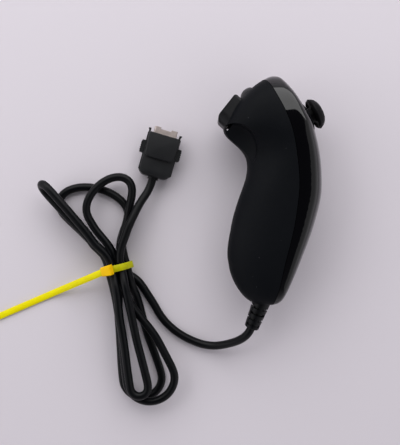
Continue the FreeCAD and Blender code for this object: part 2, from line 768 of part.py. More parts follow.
# Main board, its chips, capacitors, header and screws
boardLow = boardFace - size.boardThickness
board = box("BoardPlate", ("boardThickness", "boardBelow + boardAbove", "boardWidth"),
            (boardLow, -size.boardBelow, -size.boardWidth / 2), stickFrame)
boardHoles = [rod("BoardHole", "boardScrewRadius + slipClearance", "boardThickness + 2",
                  (boardLow - 1, along, side), (1, 0, 0), stickFrame) for along, side in boardScrewPlaces]
keep(cut("BoardCut", board, fuse("BoardHoles", boardHoles)), "main_board")
keep(box("ControllerChip", ("chipThickness", "chipSide", "chipSide"),
         (boardLow - size.chipThickness, -14.0, -size.chipSide / 2 - 3), stickFrame), "controller_chip")
keep(box("MotionSensor", ("sensorThickness", "sensorSide", "sensorSide"),
         (boardLow - size.sensorThickness, -22.5, 1.0), stickFrame), "motion_sensor")
capacitorPlaces = [(-12.0, 4.0), (-9.0, 4.0), (-6.0, 4.0), (-20.0, -6.0), (-17.0, -6.0), (-23.0, -6.0)]
keep(group("CapacitorGroup", [box("Capacitor", ("capacitorHeight", "capacitorLength", "capacitorWidth"),
                                  (boardLow - size.capacitorHeight, along, side), stickFrame)
                              for along, side in capacitorPlaces]), "board_capacitors")
headerLow = -size.boardBelow + 0.5
keep(box("CableHeader", ("headerHeight", "headerLength", "headerWidth"),
         (boardLow - size.headerHeight, headerLow, -size.headerWidth / 2), stickFrame), "cable_header")


def screwGroup(name, places, radius, head, length, frame, seat, towards):
    pieces = []
    for along, side in places:
        shank = rod(name + "Shank", radius, length, (seat, along, side), (towards, 0, 0), frame)
        cap = rod(name + "Head", head, "screwHeadThickness", (seat, along, side), (-towards, 0, 0), frame)
        pieces.append(fuse(name, [shank, cap]))
    return group(name + "Group", pieces)


keep(screwGroup("BoardScrew", boardScrewPlaces, "boardScrewRadius", "boardScrewHead",
                "boardScrewLength - 0.4", stickFrame, boardLow, 1), "board_screws")
keep(screwGroup("ShellScrew", shellScrewPlaces, "shellScrewRadius", "shellScrewHead",
                "shellScrewLength", shellScrewFrame, shellSeat, 1), "shell_screws")

# Button bracket, board and dome pad, in the button face's frame
bracketLow = bracketTop - size.bracketThickness
plate = box("BracketPlate", ("bracketThickness", "plateLength", "plateWidth"),
            (bracketLow, -12.2, -size.plateWidth / 2), buttonFrame)
wings = [rod("BracketWing", "bracketPostRadius + 0.6", "bracketThickness", (bracketLow, along, side),
             (1, 0, 0), buttonFrame) for along, side in postPlaces]
hingeHeight = -3.4
hingeAlong = -0.9
earInner = 8.4
ears = []
for way in (-1, 1):
    low = earInner if way > 0 else -earInner - size.earThickness
    ears.append(box("BracketEar", ("earHeight", "earWidth", "earThickness"),
                    (bracketLow, hingeAlong - size.earWidth / 2, low), buttonFrame))
bracketHoles = [rod("BracketHole", "boardScrewRadius + slipClearance", "bracketThickness + 2",
                    (bracketLow - 1, along, side), (1, 0, 0), buttonFrame) for along, side in postPlaces]
bracketHoles.append(rod("BracketPinHole", "hingePinRadius", "hingePinLength + 2",
                        (hingeHeight, hingeAlong, -size.hingePinLength / 2 - 1), (0, 0, 1), buttonFrame))
keep(cut("BracketCut", fuse("BracketFuse", [plate] + wings + ears), fuse("BracketHoles", bracketHoles)),
     "button_bracket")
keep(screwGroup("BracketScrew", postPlaces, "boardScrewRadius", "boardScrewHead",
                "bracketThickness + 2.9", buttonFrame, bracketLow, 1), "bracket_screws")
keep(box("ButtonBoard", ("buttonBoardThickness", "buttonBoardLength", "buttonBoardWidth"),
         (bracketTop, -11.8, -size.buttonBoardWidth / 2), buttonFrame), "button_board")
stemPlaces = {"button": buttonMiddle, "trigger": 2.6}
padLow = box("PadSheet", ("padThickness", "padLength", "padWidth"),
             (boardTop, -11.4, -size.padWidth / 2), buttonFrame)
padDomes = [rod("PadDome", "padDomeRadius", "padDomeHeight", (boardTop + size.padThickness, along, 0),
                (1, 0, 0), buttonFrame) for along in stemPlaces.values()]
keep(fuse("PadFuse", [padLow] + padDomes), "dome_pad")
padTop = boardTop + size.padThickness + size.padDomeHeight
keep(rod("HingePin", "hingePinRadius", "hingePinLength",
         (hingeHeight, hingeAlong, -size.hingePinLength / 2), (0, 0, 1), buttonFrame), "trigger_pin")


# Small upper button: domed top, retaining flange and stem
def smallButton():
    top = faceBulge + size.buttonProud
    body = raised(roundedPlan(*buttonPlan), -1.8, top + 3)
    radius = 9.5
    dome = Part.makeSphere(radius, Vector(top - radius, buttonMiddle, 0))
    stretch = FreeCAD.Matrix()
    stretch.move(Vector(0, -buttonMiddle, 0))
    stretch.scale(Vector(1, 0.72, 1))
    stretch.move(Vector(0, buttonMiddle, 0))
    dome = dome.transformGeometry(stretch)
    body = body.common(dome.fuse(raised(roundedPlan(*buttonPlan), -3, 0.5)))
    flangeTop = -0.8
    flange = raised(roundedPlan(buttonMiddle, size.buttonLength + 2 * size.buttonFlange,
                                size.buttonWidth + 2 * size.buttonFlange, 3.5, 3.5), flangeTop - 1.0, flangeTop)
    flange = flange.common(Part.makeBox(9, 12, 30, Vector(-5, -20 + 5 + 0.3, -15)))
    stemLow = padTop + size.buttonTravel + 0.15
    stem = Part.makeCylinder(size.stemRadius, -1.0 - stemLow, Vector(stemLow, buttonMiddle, 0), Vector(1, 0, 0))
    return body.fuse(flange).fuse(stem).removeSplitter()


shapePart("small_button", inFrame(smallButton(), buttonFrame))


# Large lower trigger: side profile cut by its plan, with hinge ears and a stem
def trigger():
    top = triggerMiddle - size.triggerLength / 2
    low = triggerMiddle + size.triggerLength / 2
    proud = size.triggerProud
    points = [Vector(triggerFloor, top, 0), Vector(proud - 1.7, top, 0), Vector(proud - 0.45, top + 0.5, 0),
              Vector(proud, top + 2.0, 0), Vector(proud - 0.55, low - 4.2, 0), Vector(proud - 1.35, low - 1.5, 0),
              Vector(proud - 3.4, low - 0.1, 0), Vector(triggerFloor, low, 0)]
    edges = [Part.LineSegment(points[0], points[1]), Part.Arc(points[1], points[2], points[3]),
             Part.LineSegment(points[3], points[4]), Part.Arc(points[4], points[5], points[6]),
             Part.LineSegment(points[6], points[7]), Part.LineSegment(points[7], points[0])]
    side = Part.Face(Part.Wire([edge.toShape() for edge in edges])).extrude(Vector(0, 0, size.triggerWidth))
    side.translate(Vector(0, 0, -size.triggerWidth / 2))
    body = side.common(raised(roundedPlan(*triggerPlan), triggerFloor - 1, proud + 1))
    earLow = hingeHeight - 1.9
    for way in (-1, 1):
        first = 5.6 if way > 0 else -8.0
        ear = Part.makeBox(triggerFloor + 0.5 - earLow, 3.8, 2.4, Vector(earLow, hingeAlong - 1.3, first))
        body = body.fuse(ear)
    bore = Part.makeCylinder(size.hingePinRadius + size.slipClearance, 30,
                             Vector(hingeHeight, hingeAlong, -15), Vector(0, 0, 1))
    arm = (stemPlaces["trigger"] - hingeAlong) * math.sin(math.radians(size.triggerTurn))
    stemLow = padTop + arm + 0.25
    stem = Part.makeCylinder(size.stemRadius, triggerFloor + 0.5 - stemLow,
                             Vector(stemLow, stemPlaces["trigger"], 0), Vector(1, 0, 0))
    return body.fuse(stem).cut(bore).removeSplitter()


shapePart("trigger", inFrame(trigger(), buttonFrame))

# Strain relief: a flanged sleeve with alternating slots, in its own frame along x
bootFlangeEnd = -1.75
bootInnerEnd = bootFlangeEnd - size.bootFlange
bootProfile = [Vector(bootInnerEnd, 0, 0), Vector(bootInnerEnd, size.bootFlangeRadius, 0),
               Vector(bootFlangeEnd, size.bootFlangeRadius, 0), Vector(bootFlangeEnd, size.bootRadius, 0),
               Vector(0, size.bootRadius, 0), Vector(size.bootLength - 0.6, size.bootEndRadius, 0)]
bootEdges = [Part.LineSegment(first, last).toShape() for first, last in zip(bootProfile, bootProfile[1:])]
endCorner = Vector(size.bootLength, size.bootEndRadius - 0.6, 0)
endBulge = Vector(size.bootLength - 0.18, size.bootEndRadius - 0.18, 0)
bootEdges.append(Part.Arc(bootProfile[-1], endBulge, endCorner).toShape())
bootEdges.append(Part.LineSegment(endCorner, Vector(size.bootLength, 0, 0)).toShape())
bootEdges.append(Part.LineSegment(Vector(size.bootLength, 0, 0), bootProfile[0]).toShape())
bootSolid = Part.Face(Part.Wire(bootEdges)).revolve(Vector(0, 0, 0), Vector(1, 0, 0), 360)
bridgeHalf = 0.9
slotRows = [(2.5, True), (5.6, False), (8.7, True), (11.6, False)]
for along, bridgeAcross in slotRows:
    ring = Part.makeCylinder(6.0, size.bootSlot, Vector(along, 0, 0), Vector(1, 0, 0))
    ring = ring.cut(Part.makeCylinder(size.bootCore, size.bootSlot, Vector(along, 0, 0), Vector(1, 0, 0)))
    if bridgeAcross:
        bridge = Part.makeBox(size.bootSlot, 2 * bridgeHalf, 14.0, Vector(along, -bridgeHalf, -7.0))
    else:
        bridge = Part.makeBox(size.bootSlot, 14.0, 2 * bridgeHalf, Vector(along, -7.0, -bridgeHalf))
    bootSolid = bootSolid.cut(ring.cut(bridge))
shapePart("strain_relief", inFrame(bootSolid, bootFrame))


# A tube of straight runs joined by tangent arcs
def tubeAlong(name, points, radius):
    edges = []
    here = points[0]
    tightest = 1e9
    for before, corner, after in zip(points, points[1:], points[2:]):
        arriving = corner - before
        leaving = after - corner
        half = arriving.getAngle(leaving) / 2
        bend = 0.45 * min(arriving.Length, leaving.Length) / math.tan(half)
        reach = bend * math.tan(half)
        arriving.normalize()
        leaving.normalize()
        first = corner - arriving * reach
        last = corner + leaving * reach
        inward = (leaving - arriving).normalize()
        middle = corner + inward * (bend / math.cos(half) - bend)
        edges.append(Part.LineSegment(here, first).toShape())
        edges.append(Part.Arc(first, middle, last).toShape())
        here = last
        tightest = min(tightest, bend)
    edges.append(Part.LineSegment(here, points[-1]).toShape())
    solid = sweepRound(edges, radius)
    length = sum(edge.Length for edge in edges)
    share = solid.Volume / (math.pi * radius ** 2 * length)
    print(f"{name}: length {length:.1f} mm, tightest radius {tightest:.1f} mm, volume share {share:.3f}")
    return solid


# The lead inside the grip, from the strain relief to the header on the board
leadStart = bootFrame.multVec(Vector(bootInnerEnd, 0, 0))
leadEnd = stickFrame.multVec(Vector(boardLow - size.headerHeight / 2, headerLow, 0))
stickUp = Vector(-stickAxis.y, stickAxis.x, 0)
innerPoints = [leadStart, leadStart - bootAxis.normalize() * 5.0, bodyPoint(2.0, -38.0, 7.0),
               bodyPoint(8.0, -26.0, 7.0), bodyPoint(12.5, -16.5, 6.0), leadEnd - stickUp * 4.6, leadEnd]
shapePart("inner_lead", tubeAlong("inner lead", innerPoints, size.innerLeadRadius))

# Free cord: the strands of the hank pass its waist side by side in a hexagon
cordRadius = size.cordDiameter / 2
pitch = size.cordDiameter + size.strandGap
rowStep = pitch * math.sqrt(3) / 2
waist = Vector(-78.0, -38.9, 0)
waistHeight = rowStep + cordRadius + size.strapClearance + size.strapThickness + 0.05
waistAngle = 104.0
waistAxis = Vector(math.cos(math.radians(waistAngle)), math.sin(math.radians(waistAngle)), 0)
waistAcross = Vector(waistAxis.y, -waistAxis.x, 0)
waistSlots = {"bottomLeft": (-0.5, -1), "bottomRight": (0.5, -1), "left": (-1, 0), "centre": (0, 0),
              "right": (1, 0), "topLeft": (-0.5, 1), "topRight": (0.5, 1)}

# Each loop leaves the waist at one slot and comes back at another: its tip's direction and distance,
# the half angle between its sides, and how far from the waist it spreads, fades and changes height
hankLoops = [
    {"start": "bottomRight", "end": "bottomLeft", "tip": 113.5, "length": 45.5, "half": 22.0, "side": -1,
     "skew": 0.42, "widen": 1.3, "level": 2.2, "reach": (9, 9), "delay": (1, 1), "fade": 26, "blend": (26, 15),
     "bow": 0.0, "roll": 0.0},
    {"start": "bottomLeft", "end": "right", "tip": -78.1, "length": 69.5, "half": 8.6, "side": -1,
     "skew": 0.0, "widen": 1.05, "level": 2.2, "reach": (9, 9), "delay": (1, 8), "fade": 44, "blend": (26, 22),
     "bow": 0.2, "roll": 0.0},
    {"start": "right", "end": "centre", "tip": 97.2, "length": 45.5, "half": 17.0, "side": -1,
     "skew": -0.36, "widen": 1.22, "level": 7.2, "reach": (12, 12), "delay": (1, 1), "fade": 28,
     "blend": (26, 24), "bow": 0.0, "roll": 0.0},
    {"start": "centre", "end": "left", "tip": -73.3, "length": 71.0, "half": 10.6, "side": 1,
     "skew": 0.0, "widen": 1.08, "level": 9.4, "reach": (10, 12), "delay": (1, 1), "fade": 36,
     "blend": (42, 26), "bow": 0.1, "roll": 0.0},
    {"start": "left", "end": "topLeft", "tip": 132.0, "length": 57.5, "half": 4.2, "side": 1,
     "skew": 0.0, "widen": 1.0, "level": 11.7, "reach": (45, 45), "delay": (1, 1), "fade": 24,
     "blend": (17, 17), "bow": 0.5, "roll": 66.0},
    {"start": "topLeft", "end": "topRight", "tip": -79.0, "length": 66.0, "half": 3.9, "side": -1,
     "skew": 0.0, "widen": 1.08, "level": 14.1, "reach": (9.5, 9.5), "delay": (1, 1), "fade": 44,
     "blend": (26, 26), "bow": 0.15, "roll": 0.0},
]
hankEntry = {"slot": "bottomRight", "swing": -28.0, "swingOver": 7.0, "settle": -57.0, "settleOver": 8.0,
             "length": 19.5, "level": 2.15, "reach": 6.0}
hankLeave = {"slot": "topRight", "swing": 70.0, "swingOver": 12.0, "settle": 70.0, "settleOver": 1.0,
             "length": 18.0, "level": 12.0, "reach": 12.0}


def smooth(value):
    value = min(max(value, 0.0), 1.0)
    return value * value * (3 - 2 * value)


def loopPoint(loop, share):
    # A pear outline: two straight sides and a round end, bent into the waist's line near the waist
    half = math.radians(loop["half"])
    far = loop["length"] / (1 + math.sin(half))
    bend = far * math.sin(half)
    side = far * math.cos(half)
    total = 2 * side + bend * (math.pi + 2 * half)
    run = total * share
    if run < side:
        out, off = run * math.cos(half), run * math.sin(half)
    elif run > total - side:
        out, off = (total - run) * math.cos(half), -(total - run) * math.sin(half)
    else:
        turn = math.pi / 2 + half - (run - side) / bend
        out, off = far + bend * math.cos(turn), bend * math.sin(turn)
    off *= loop["side"] * loop["widen"] * (1 + loop["bow"] * math.sin(math.pi * min(out / loop["length"], 1)))
    roll = math.radians(loop["roll"])
    lift = -off * math.sin(roll)
    off *= math.cos(roll)
    out += loop["skew"] * off
    radius = math.hypot(out, off)
    homeward = 1 if share >= 0.5 else 0
    across, row = waistSlots[loop["end" if homeward else "start"]]
    waistSide = waistAngle if loop["tip"] > 0 else waistAngle - 180
    heading = loop["tip"] + math.degrees(math.atan2(off, out))
    angle = waistSide + (heading - waistSide) * smooth(radius / loop["blend"][homeward])
    offset = across * pitch * (1 - smooth(radius / loop["fade"]))
    slotHeight = waistHeight + row * rowStep
    climb = smooth((radius - loop["delay"][homeward]) / loop["reach"][homeward])
    height = slotHeight + (loop["level"] - slotHeight) * climb + lift
    flat = Vector(math.cos(math.radians(angle)), math.sin(math.radians(angle)), 0) * radius
    return waist + flat + waistAcross * offset + Vector(0, 0, height)


def tailPoints(tail, towardsTip, steps=60):
    # A strand that leaves the waist along its line, swings aside and settles on its own heading
    across, row = waistSlots[tail["slot"]]
    slotHeight = waistHeight + row * rowStep
    waistSide = waistAngle if towardsTip else waistAngle - 180
    place = waist + waistAcross * (across * pitch) + Vector(0, 0, slotHeight)
    points = [place]
    step = tail["length"] / steps
    for index in range(steps):
        run = (index + 0.5) * step
        heading = waistSide + (tail["swing"] - waistSide) * smooth(run / tail["swingOver"])
        heading += (tail["settle"] - tail["swing"]) * smooth((run - tail["swingOver"]) / tail["settleOver"])
        place = place + Vector(math.cos(math.radians(heading)), math.sin(math.radians(heading)), 0) * step
        climb = smooth((index + 1) * step / tail["reach"])
        points.append(Vector(place.x, place.y, slotHeight + (tail["level"] - slotHeight) * climb))
    return points


def hankLine():
    # Fine points along the whole hank, then the same line at even steps
    fine = list(reversed(tailPoints(hankEntry, False)))
    for loop in hankLoops:
        fine += [loopPoint(loop, index / 600) for index in range(1, 600)]
    fine += tailPoints(hankLeave, True)
    runs = [0.0]
    for first, last in zip(fine, fine[1:]):
        runs.append(runs[-1] + (last - first).Length)
    count = int(round(runs[-1] / 3.6))
    points = []
    tangents = []
    place = 0
    for index in range(count + 1):
        run = runs[-1] * index / count
        while place < len(fine) - 2 and runs[place + 1] < run:
            place += 1
        share = (run - runs[place]) / (runs[place + 1] - runs[place])
        points.append(fine[place] + (fine[place + 1] - fine[place]) * share)
        low = max(place - 2, 0)
        high = min(place + 3, len(fine) - 1)
        tangents.append((fine[high] - fine[low]).normalize())
    return points, tangents, runs[-1]


hankPoints, hankTangents, hankLength = hankLine()
hankEdges = biarcPath(hankPoints, hankTangents)


def leastGap(edges, width):
    samples = []
    run = 0.0
    for edge in edges:
        for share in (0.0, 0.25, 0.5, 0.75):
            at = edge.FirstParameter + (edge.LastParameter - edge.FirstParameter) * share
            samples.append((run + edge.Length * share, edge.valueAt(at)))
        run += edge.Length
    least = 1e9
    for index, (run, place) in enumerate(samples):
        for otherRun, other in samples[index + 1:]:
            if otherRun - run > 3.2 * width:
                least = min(least, (place - other).Length)
    return least - width


def tightestBend(edges):
    radii = [edge.Curve.Radius for edge in edges if hasattr(edge.Curve, "Radius")]
    return min(radii)


hankSolid = sweepRound(hankEdges, cordRadius)
hankShare = hankSolid.Volume / (math.pi * cordRadius ** 2 * hankLength)
print(f"hank: {len(hankPoints)} points, length {hankLength:.1f} mm, least gap "
      f"{leastGap(hankEdges, size.cordDiameter):.2f} mm, tightest radius {tightestBend(hankEdges):.2f} mm, "
      f"volume share {hankShare:.3f}")
shapePart("cord_hank", hankSolid)

# The cord's free stretches on either side of the hank
bootEnd = bootFrame.multVec(Vector(size.bootLength, 0, 0))
entryWay = (hankPoints[1] - hankPoints[0]).normalize()
bootOut = (bootFrame.multVec(Vector(1, 0, 0)) - bootFrame.Base) * 3.4
leadPoints = [bootEnd, bootEnd + bootOut, Vector(-15.5, -75.6, 12.4), Vector(-21.6, -78.4, 7.3),
              Vector(-28.5, -80.1, 3.9), Vector(-36.5, -79.0, 2.15), Vector(-47.0, -73.9, 2.15),
              Vector(-55.3, -66.3, 2.15), hankPoints[0] - entryWay * 6.5, hankPoints[0]]
shapePart("cord_lead", tubeAlong("cord lead", leadPoints, cordRadius))

# Plug, in its own frame: y forward, x to its right, z up from the middle of its lower face
halfPlug = size.plugWidth / 2
rollLift = halfPlug * math.sin(math.radians(size.plugRoll)) + 0.02
plugFrame = Placement(Vector(-57.6, 18.5, rollLift),
                      Rotation(Vector(0, 0, 1), size.plugTurn).multiply(Rotation(Vector(0, 1, 0), size.plugRoll)))
plugRear = -size.plugLength / 2
plugFront = size.plugLength / 2
plugMiddle = size.plugBaseHeight
collarRear = plugRear - 1.2
plugEnd = plugFrame.multVec(Vector(0, collarRear, plugMiddle - 0.3))
plugForward = plugFrame.multVec(Vector(0, 1, 0)) - plugFrame.Base
leaveWay = (hankPoints[-1] - hankPoints[-2]).normalize()
plugLeadPoints = [hankPoints[-1], hankPoints[-1] + leaveWay * 5.0, Vector(-66.5, -5.6, 9.0),
                  plugEnd - plugForward * 5.4, plugEnd]
shapePart("cord_plug_lead", tubeAlong("plug lead", plugLeadPoints, cordRadius))


# Cable tie: a strap round the seven strands, its head above them and its tail down to the ground
def cableTie():
    tieFrame = Placement(waist + Vector(0, 0, waistHeight) - waistAxis * (size.strapWidth / 2),
                         Rotation(waistAcross, Vector(0, 0, 1), waistAxis * -1, "XYZ"))
    order = ["bottomLeft", "bottomRight", "right", "topRight", "topLeft", "left"]
    corners = [Vector(waistSlots[name][0] * pitch, waistSlots[name][1] * rowStep, 0) for name in order]
    hexagon = Part.makePolygon(corners + corners[:1])
    inside = cordRadius + size.strapClearance
    outer = Part.Face(hexagon.makeOffset2D(inside + size.strapThickness, 0))
    inner = Part.Face(hexagon.makeOffset2D(inside, 0))
    loop = outer.cut(inner).extrude(Vector(0, 0, -size.strapWidth))
    lean = math.radians(112.0)
    out = Vector(math.cos(lean), math.sin(lean), 0)
    sideways = Vector(-out.y, out.x, 0)
    seat = corners[4] + out * (inside + size.strapThickness - 0.35)
    low = -size.strapWidth / 2 + size.strapHead / 2
    head = [seat - sideways * (size.strapHead / 2), seat + sideways * (size.strapHead / 2)]
    head += [head[1] + out * size.strapHeadHeight, head[0] + out * size.strapHeadHeight]
    for corner in head:
        corner.z = low
    block = Part.Face(Part.makePolygon(head + head[:1])).extrude(Vector(0, 0, -size.strapHead))
    block = block.makeFillet(0.8, [edge for edge in block.Edges])
    tie = loop.fuse(block)
    tie.Placement = tieFrame
    start = tieFrame.multVec(seat + sideways * (size.strapHead / 2 - 0.8) + out * (size.strapHeadHeight * 0.5)
                             + Vector(0, 0, -size.strapWidth / 2))
    end = Vector(-146.0, -67.1, size.strapThickness / 2 + 0.02)
    along = Vector(end.x - start.x, end.y - start.y, 0)
    span = along.Length
    along.normalize()
    sideStep = Vector(-along.y, along.x, 0)
    line = [(0.0, start.z, -24.0), (14.0, start.z - 7.2, -27.0), (27.0, 2.2, -20.0), (38.0, end.z, 0.0),
            (span, end.z, 0.0)]
    upper = []
    lower = []
    tangents = []
    for run, height, slope in line:
        way = along * math.cos(math.radians(slope)) + Vector(0, 0, math.sin(math.radians(slope)))
        normal = Vector(0, 0, math.cos(math.radians(slope))) - along * math.sin(math.radians(slope))
        place = Vector(start.x, start.y, 0) + along * run + Vector(0, 0, height)
        place -= sideStep * (size.strapWidth / 2)
        upper.append(place + normal * (size.strapThickness / 2))
        lower.append(place - normal * (size.strapThickness / 2))
        tangents.append(way)
    edges = biarcPath(upper, tangents)
    edges.append(Part.LineSegment(upper[-1], lower[-1]).toShape())
    edges += biarcPath(list(reversed(lower)), [way * -1 for way in reversed(tangents)])
    edges.append(Part.LineSegment(lower[0], upper[0]).toShape())
    tail = Part.Face(Part.Wire(Part.sortEdges(edges)[0])).extrude(sideStep * size.strapWidth)
    return tie.fuse(tail).removeSplitter()


shapePart("cable_tie", cableTie())


# The plug's two halves share one plan: square in front, rounded at the rear
def plugSlab(low, high, inset=0.0):
    half = halfPlug - inset
    corner = size.plugCorner - inset
    rear = plugRear + inset
    front = plugFront - inset
    bulge = corner * (1 - math.sqrt(0.5))
    points = [Vector(-half, front, low), Vector(-half, rear + corner, low), Vector(-half + corner, rear, low),
              Vector(half - corner, rear, low), Vector(half, rear + corner, low), Vector(half, front, low)]
    edges = [Part.LineSegment(points[0], points[1]),
             Part.Arc(points[1], Vector(-half + bulge, rear + bulge, low), points[2]),
             Part.LineSegment(points[2], points[3]),
             Part.Arc(points[3], Vector(half - bulge, rear + bulge, low), points[4]),
             Part.LineSegment(points[4], points[5]), Part.LineSegment(points[5], points[0])]
    return Part.Face(Part.Wire([edge.toShape() for edge in edges])).extrude(Vector(0, 0, high - low))


def block(width, y0, y1, z0, z1, x0=None):
    low = -width / 2 if x0 is None else x0
    return Part.makeBox(width, y1 - y0, z1 - z0, Vector(low, y0, z0))


tongueRear = 4.0
tongueLow = plugMiddle - size.tongueHeight / 2
tongueHigh = plugMiddle + size.tongueHeight / 2
latchLow = plugMiddle - size.latchHeight / 2
latchHigh = plugMiddle + size.latchHeight / 2
latchInner = halfPlug - 0.8
latchOuter = latchInner + size.latchThickness - 0.2
channelInner = halfPlug - 1.7
latchRear = -8.4
pinLow = 1.6
pinHigh = 8.2
collarAxis = plugMiddle - 0.3
fit = size.slipClearance
plugHollow = [block(9.0, plugRear + 2.4, tongueRear - 0.6, size.plugWall, size.plugCoverHeight - size.plugWall),
              block(size.tongueWidth + 2 * fit, tongueRear - fit, plugFront + 1, tongueLow - fit,
                    tongueHigh + fit),
              Part.makeCylinder(2.8 + fit, 6.0, Vector(0, plugRear - 1, collarAxis), Vector(0, 1, 0)),
              Part.makeCylinder(3.7 + fit, 1.0 + 2 * fit, Vector(0, plugRear + 0.9 - fit, collarAxis),
                                Vector(0, 1, 0))]
for side in (-1, 1):
    low = channelInner if side > 0 else -channelInner - 3.0
    plugHollow.append(block(3.0, latchRear - 1.5, plugFront + 1, latchLow - 0.3, latchHigh + 0.3, low))
    plugHollow.append(Part.makeCylinder(size.latchPinRadius + fit, pinHigh - pinLow + 0.4,
                                        Vector(side * (latchInner + 0.1), latchRear, pinLow - 0.2)))
baseSolid = plugSlab(0.0, size.plugBaseHeight)
lowEdges = [edge for edge in baseSolid.Edges if edge.BoundBox.ZMax < 0.01]
baseSolid = baseSolid.makeFillet(0.8, lowEdges).cut(plugHollow)
shapePart("plug_base", inFrame(baseSolid, plugFrame))
coverSolid = plugSlab(size.plugBaseHeight + size.plugSeam, size.plugCoverHeight)
topEdges = [edge for edge in coverSolid.Edges if edge.BoundBox.ZMin > size.plugCoverHeight - 0.01]
coverSolid = coverSolid.makeFillet(0.9, topEdges)
raisedPlate = block(size.plugPlateWidth, plugFront - size.plugPlateLength, plugFront - 0.01,
                    size.plugCoverHeight - 1.2, size.plugPlateHeight)
plateEdges = [edge for edge in raisedPlate.Edges if edge.BoundBox.ZMin > size.plugPlateHeight - 0.01]
raisedPlate = raisedPlate.makeFillet(0.8, plateEdges)
coverSolid = coverSolid.fuse(raisedPlate).cut(plugHollow)
shapePart("plug_cover", inFrame(coverSolid, plugFrame))

tongueFront = plugFront + size.tongueProud
prongFront = tongueFront + size.prongProud
tongue = block(size.tongueWidth, tongueRear, prongFront, tongueLow, tongueHigh)
tongue = tongue.makeFillet(0.7, [edge for edge in tongue.Edges if abs(edge.BoundBox.YLength) > 5])
wall = size.tongueWall
tongue = tongue.cut(block(size.tongueWidth - 2 * wall, tongueRear - 1, prongFront + 1, tongueLow + wall,
                          tongueHigh - wall))
tongue = tongue.cut(block(size.tongueWidth - 2 * size.prongWidth, tongueFront, prongFront + 1,
                          tongueLow - 1, tongueHigh + 1))
shapePart("plug_shell", inFrame(tongue, plugFrame))
insertWidth = size.tongueWidth - 2 * wall - 2 * fit
insert = block(insertWidth, tongueRear, tongueFront - 1.0, plugMiddle - 0.9, plugMiddle + 0.9)
insert = insert.fuse(block(insertWidth, tongueRear, tongueRear + 2.4, tongueLow + wall + fit,
                           tongueHigh - wall - fit))
shapePart("plug_contact_block", inFrame(insert.removeSplitter(), plugFrame))
contacts = []
for row in range(6):
    middle = (row - 2.5) * size.contactPitch
    contacts.append(box("Contact", ("contactWidth", "plugLength / 2 + tongueProud - 1.6 - 6.4", "0.25"),
                        (middle - size.contactWidth / 2, tongueRear + 2.4, plugMiddle + 0.9), plugFrame))
keep(group("ContactGroup", contacts), "plug_contacts")


def latch(side):
    inner = latchInner if side > 0 else -latchOuter
    arm = block(latchOuter - latchInner, latchRear, plugFront - 0.2, latchLow, latchHigh, inner)
    padLowEdge = latchOuter - 0.4 if side > 0 else -latchOuter - size.latchProud
    pad = block(size.latchProud + 0.4, 3.0 - size.latchPad / 2, 3.0 + size.latchPad / 2, latchLow, latchHigh,
                padLowEdge)
    pad = pad.makeFillet(0.7, [edge for edge in pad.Edges if edge.BoundBox.YLength < 0.01
                               and abs(edge.CenterOfMass.x) > latchOuter + 1])
    finger = block(0.9, plugFront - 0.5, plugFront + 2.2, plugMiddle - 1.1, plugMiddle + 1.1,
                   latchInner if side > 0 else -latchInner - 0.9)
    barb = block(0.6, plugFront + 1.5, plugFront + 2.2, plugMiddle - 1.1, plugMiddle + 1.1,
                 latchInner + 0.7 if side > 0 else -latchInner - 1.3)
    pin = Part.makeCylinder(size.latchPinRadius, pinHigh - pinLow,
                            Vector(side * (latchInner + 0.1), latchRear, pinLow))
    return arm.fuse([pad, finger, barb, pin]).removeSplitter()


shapePart("latch_right", inFrame(latch(1), plugFrame))
shapePart("latch_left", inFrame(latch(-1), plugFrame))
collar = Part.makeCylinder(2.8, -8.8 - collarRear, Vector(0, collarRear, collarAxis), Vector(0, 1, 0))
collar = collar.fuse(Part.makeCylinder(3.7, 1.0, Vector(0, plugRear + 0.9, collarAxis), Vector(0, 1, 0)))
shapePart("plug_collar", inFrame(collar.removeSplitter(), plugFrame))


doc.recompute()
for item in doc.Objects:
    if "Invalid" in item.State or "Error" in item.State:
        raise RuntimeError(f"{item.Label} failed: {item.State}")
for item in finishedParts:
    if item.Shape.isNull() or not item.Shape.isValid():
        raise RuntimeError(f"{item.Label} has no valid shape")
for item in finishedParts:
    item.Shape.exportStep(f"parts/{item.Label}.step")
    print(item.Label, "solids", len(item.Shape.Solids), "volume", round(item.Shape.Volume, 1))
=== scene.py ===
import json
import math
import bmesh
import bpy
from mathutils import Matrix, Vector


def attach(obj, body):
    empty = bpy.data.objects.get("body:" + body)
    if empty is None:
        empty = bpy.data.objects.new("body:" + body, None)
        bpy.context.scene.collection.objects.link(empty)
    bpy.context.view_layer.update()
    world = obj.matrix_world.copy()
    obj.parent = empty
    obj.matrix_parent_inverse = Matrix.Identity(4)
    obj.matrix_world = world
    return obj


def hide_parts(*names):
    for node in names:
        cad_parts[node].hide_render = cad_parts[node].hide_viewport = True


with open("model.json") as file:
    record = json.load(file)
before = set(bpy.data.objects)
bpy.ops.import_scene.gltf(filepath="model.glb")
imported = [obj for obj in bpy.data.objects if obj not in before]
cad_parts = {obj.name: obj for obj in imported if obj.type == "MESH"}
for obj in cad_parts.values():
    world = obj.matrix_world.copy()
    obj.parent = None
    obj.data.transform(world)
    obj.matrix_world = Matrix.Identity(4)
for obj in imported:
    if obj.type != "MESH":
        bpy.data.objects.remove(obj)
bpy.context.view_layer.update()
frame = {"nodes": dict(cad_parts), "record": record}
nodes = frame["nodes"]
scene = bpy.context.scene
mm = 0.001    # every length below is written in millimetres, and every angle in degrees
print("frame loaded:", len(nodes), "nodes")

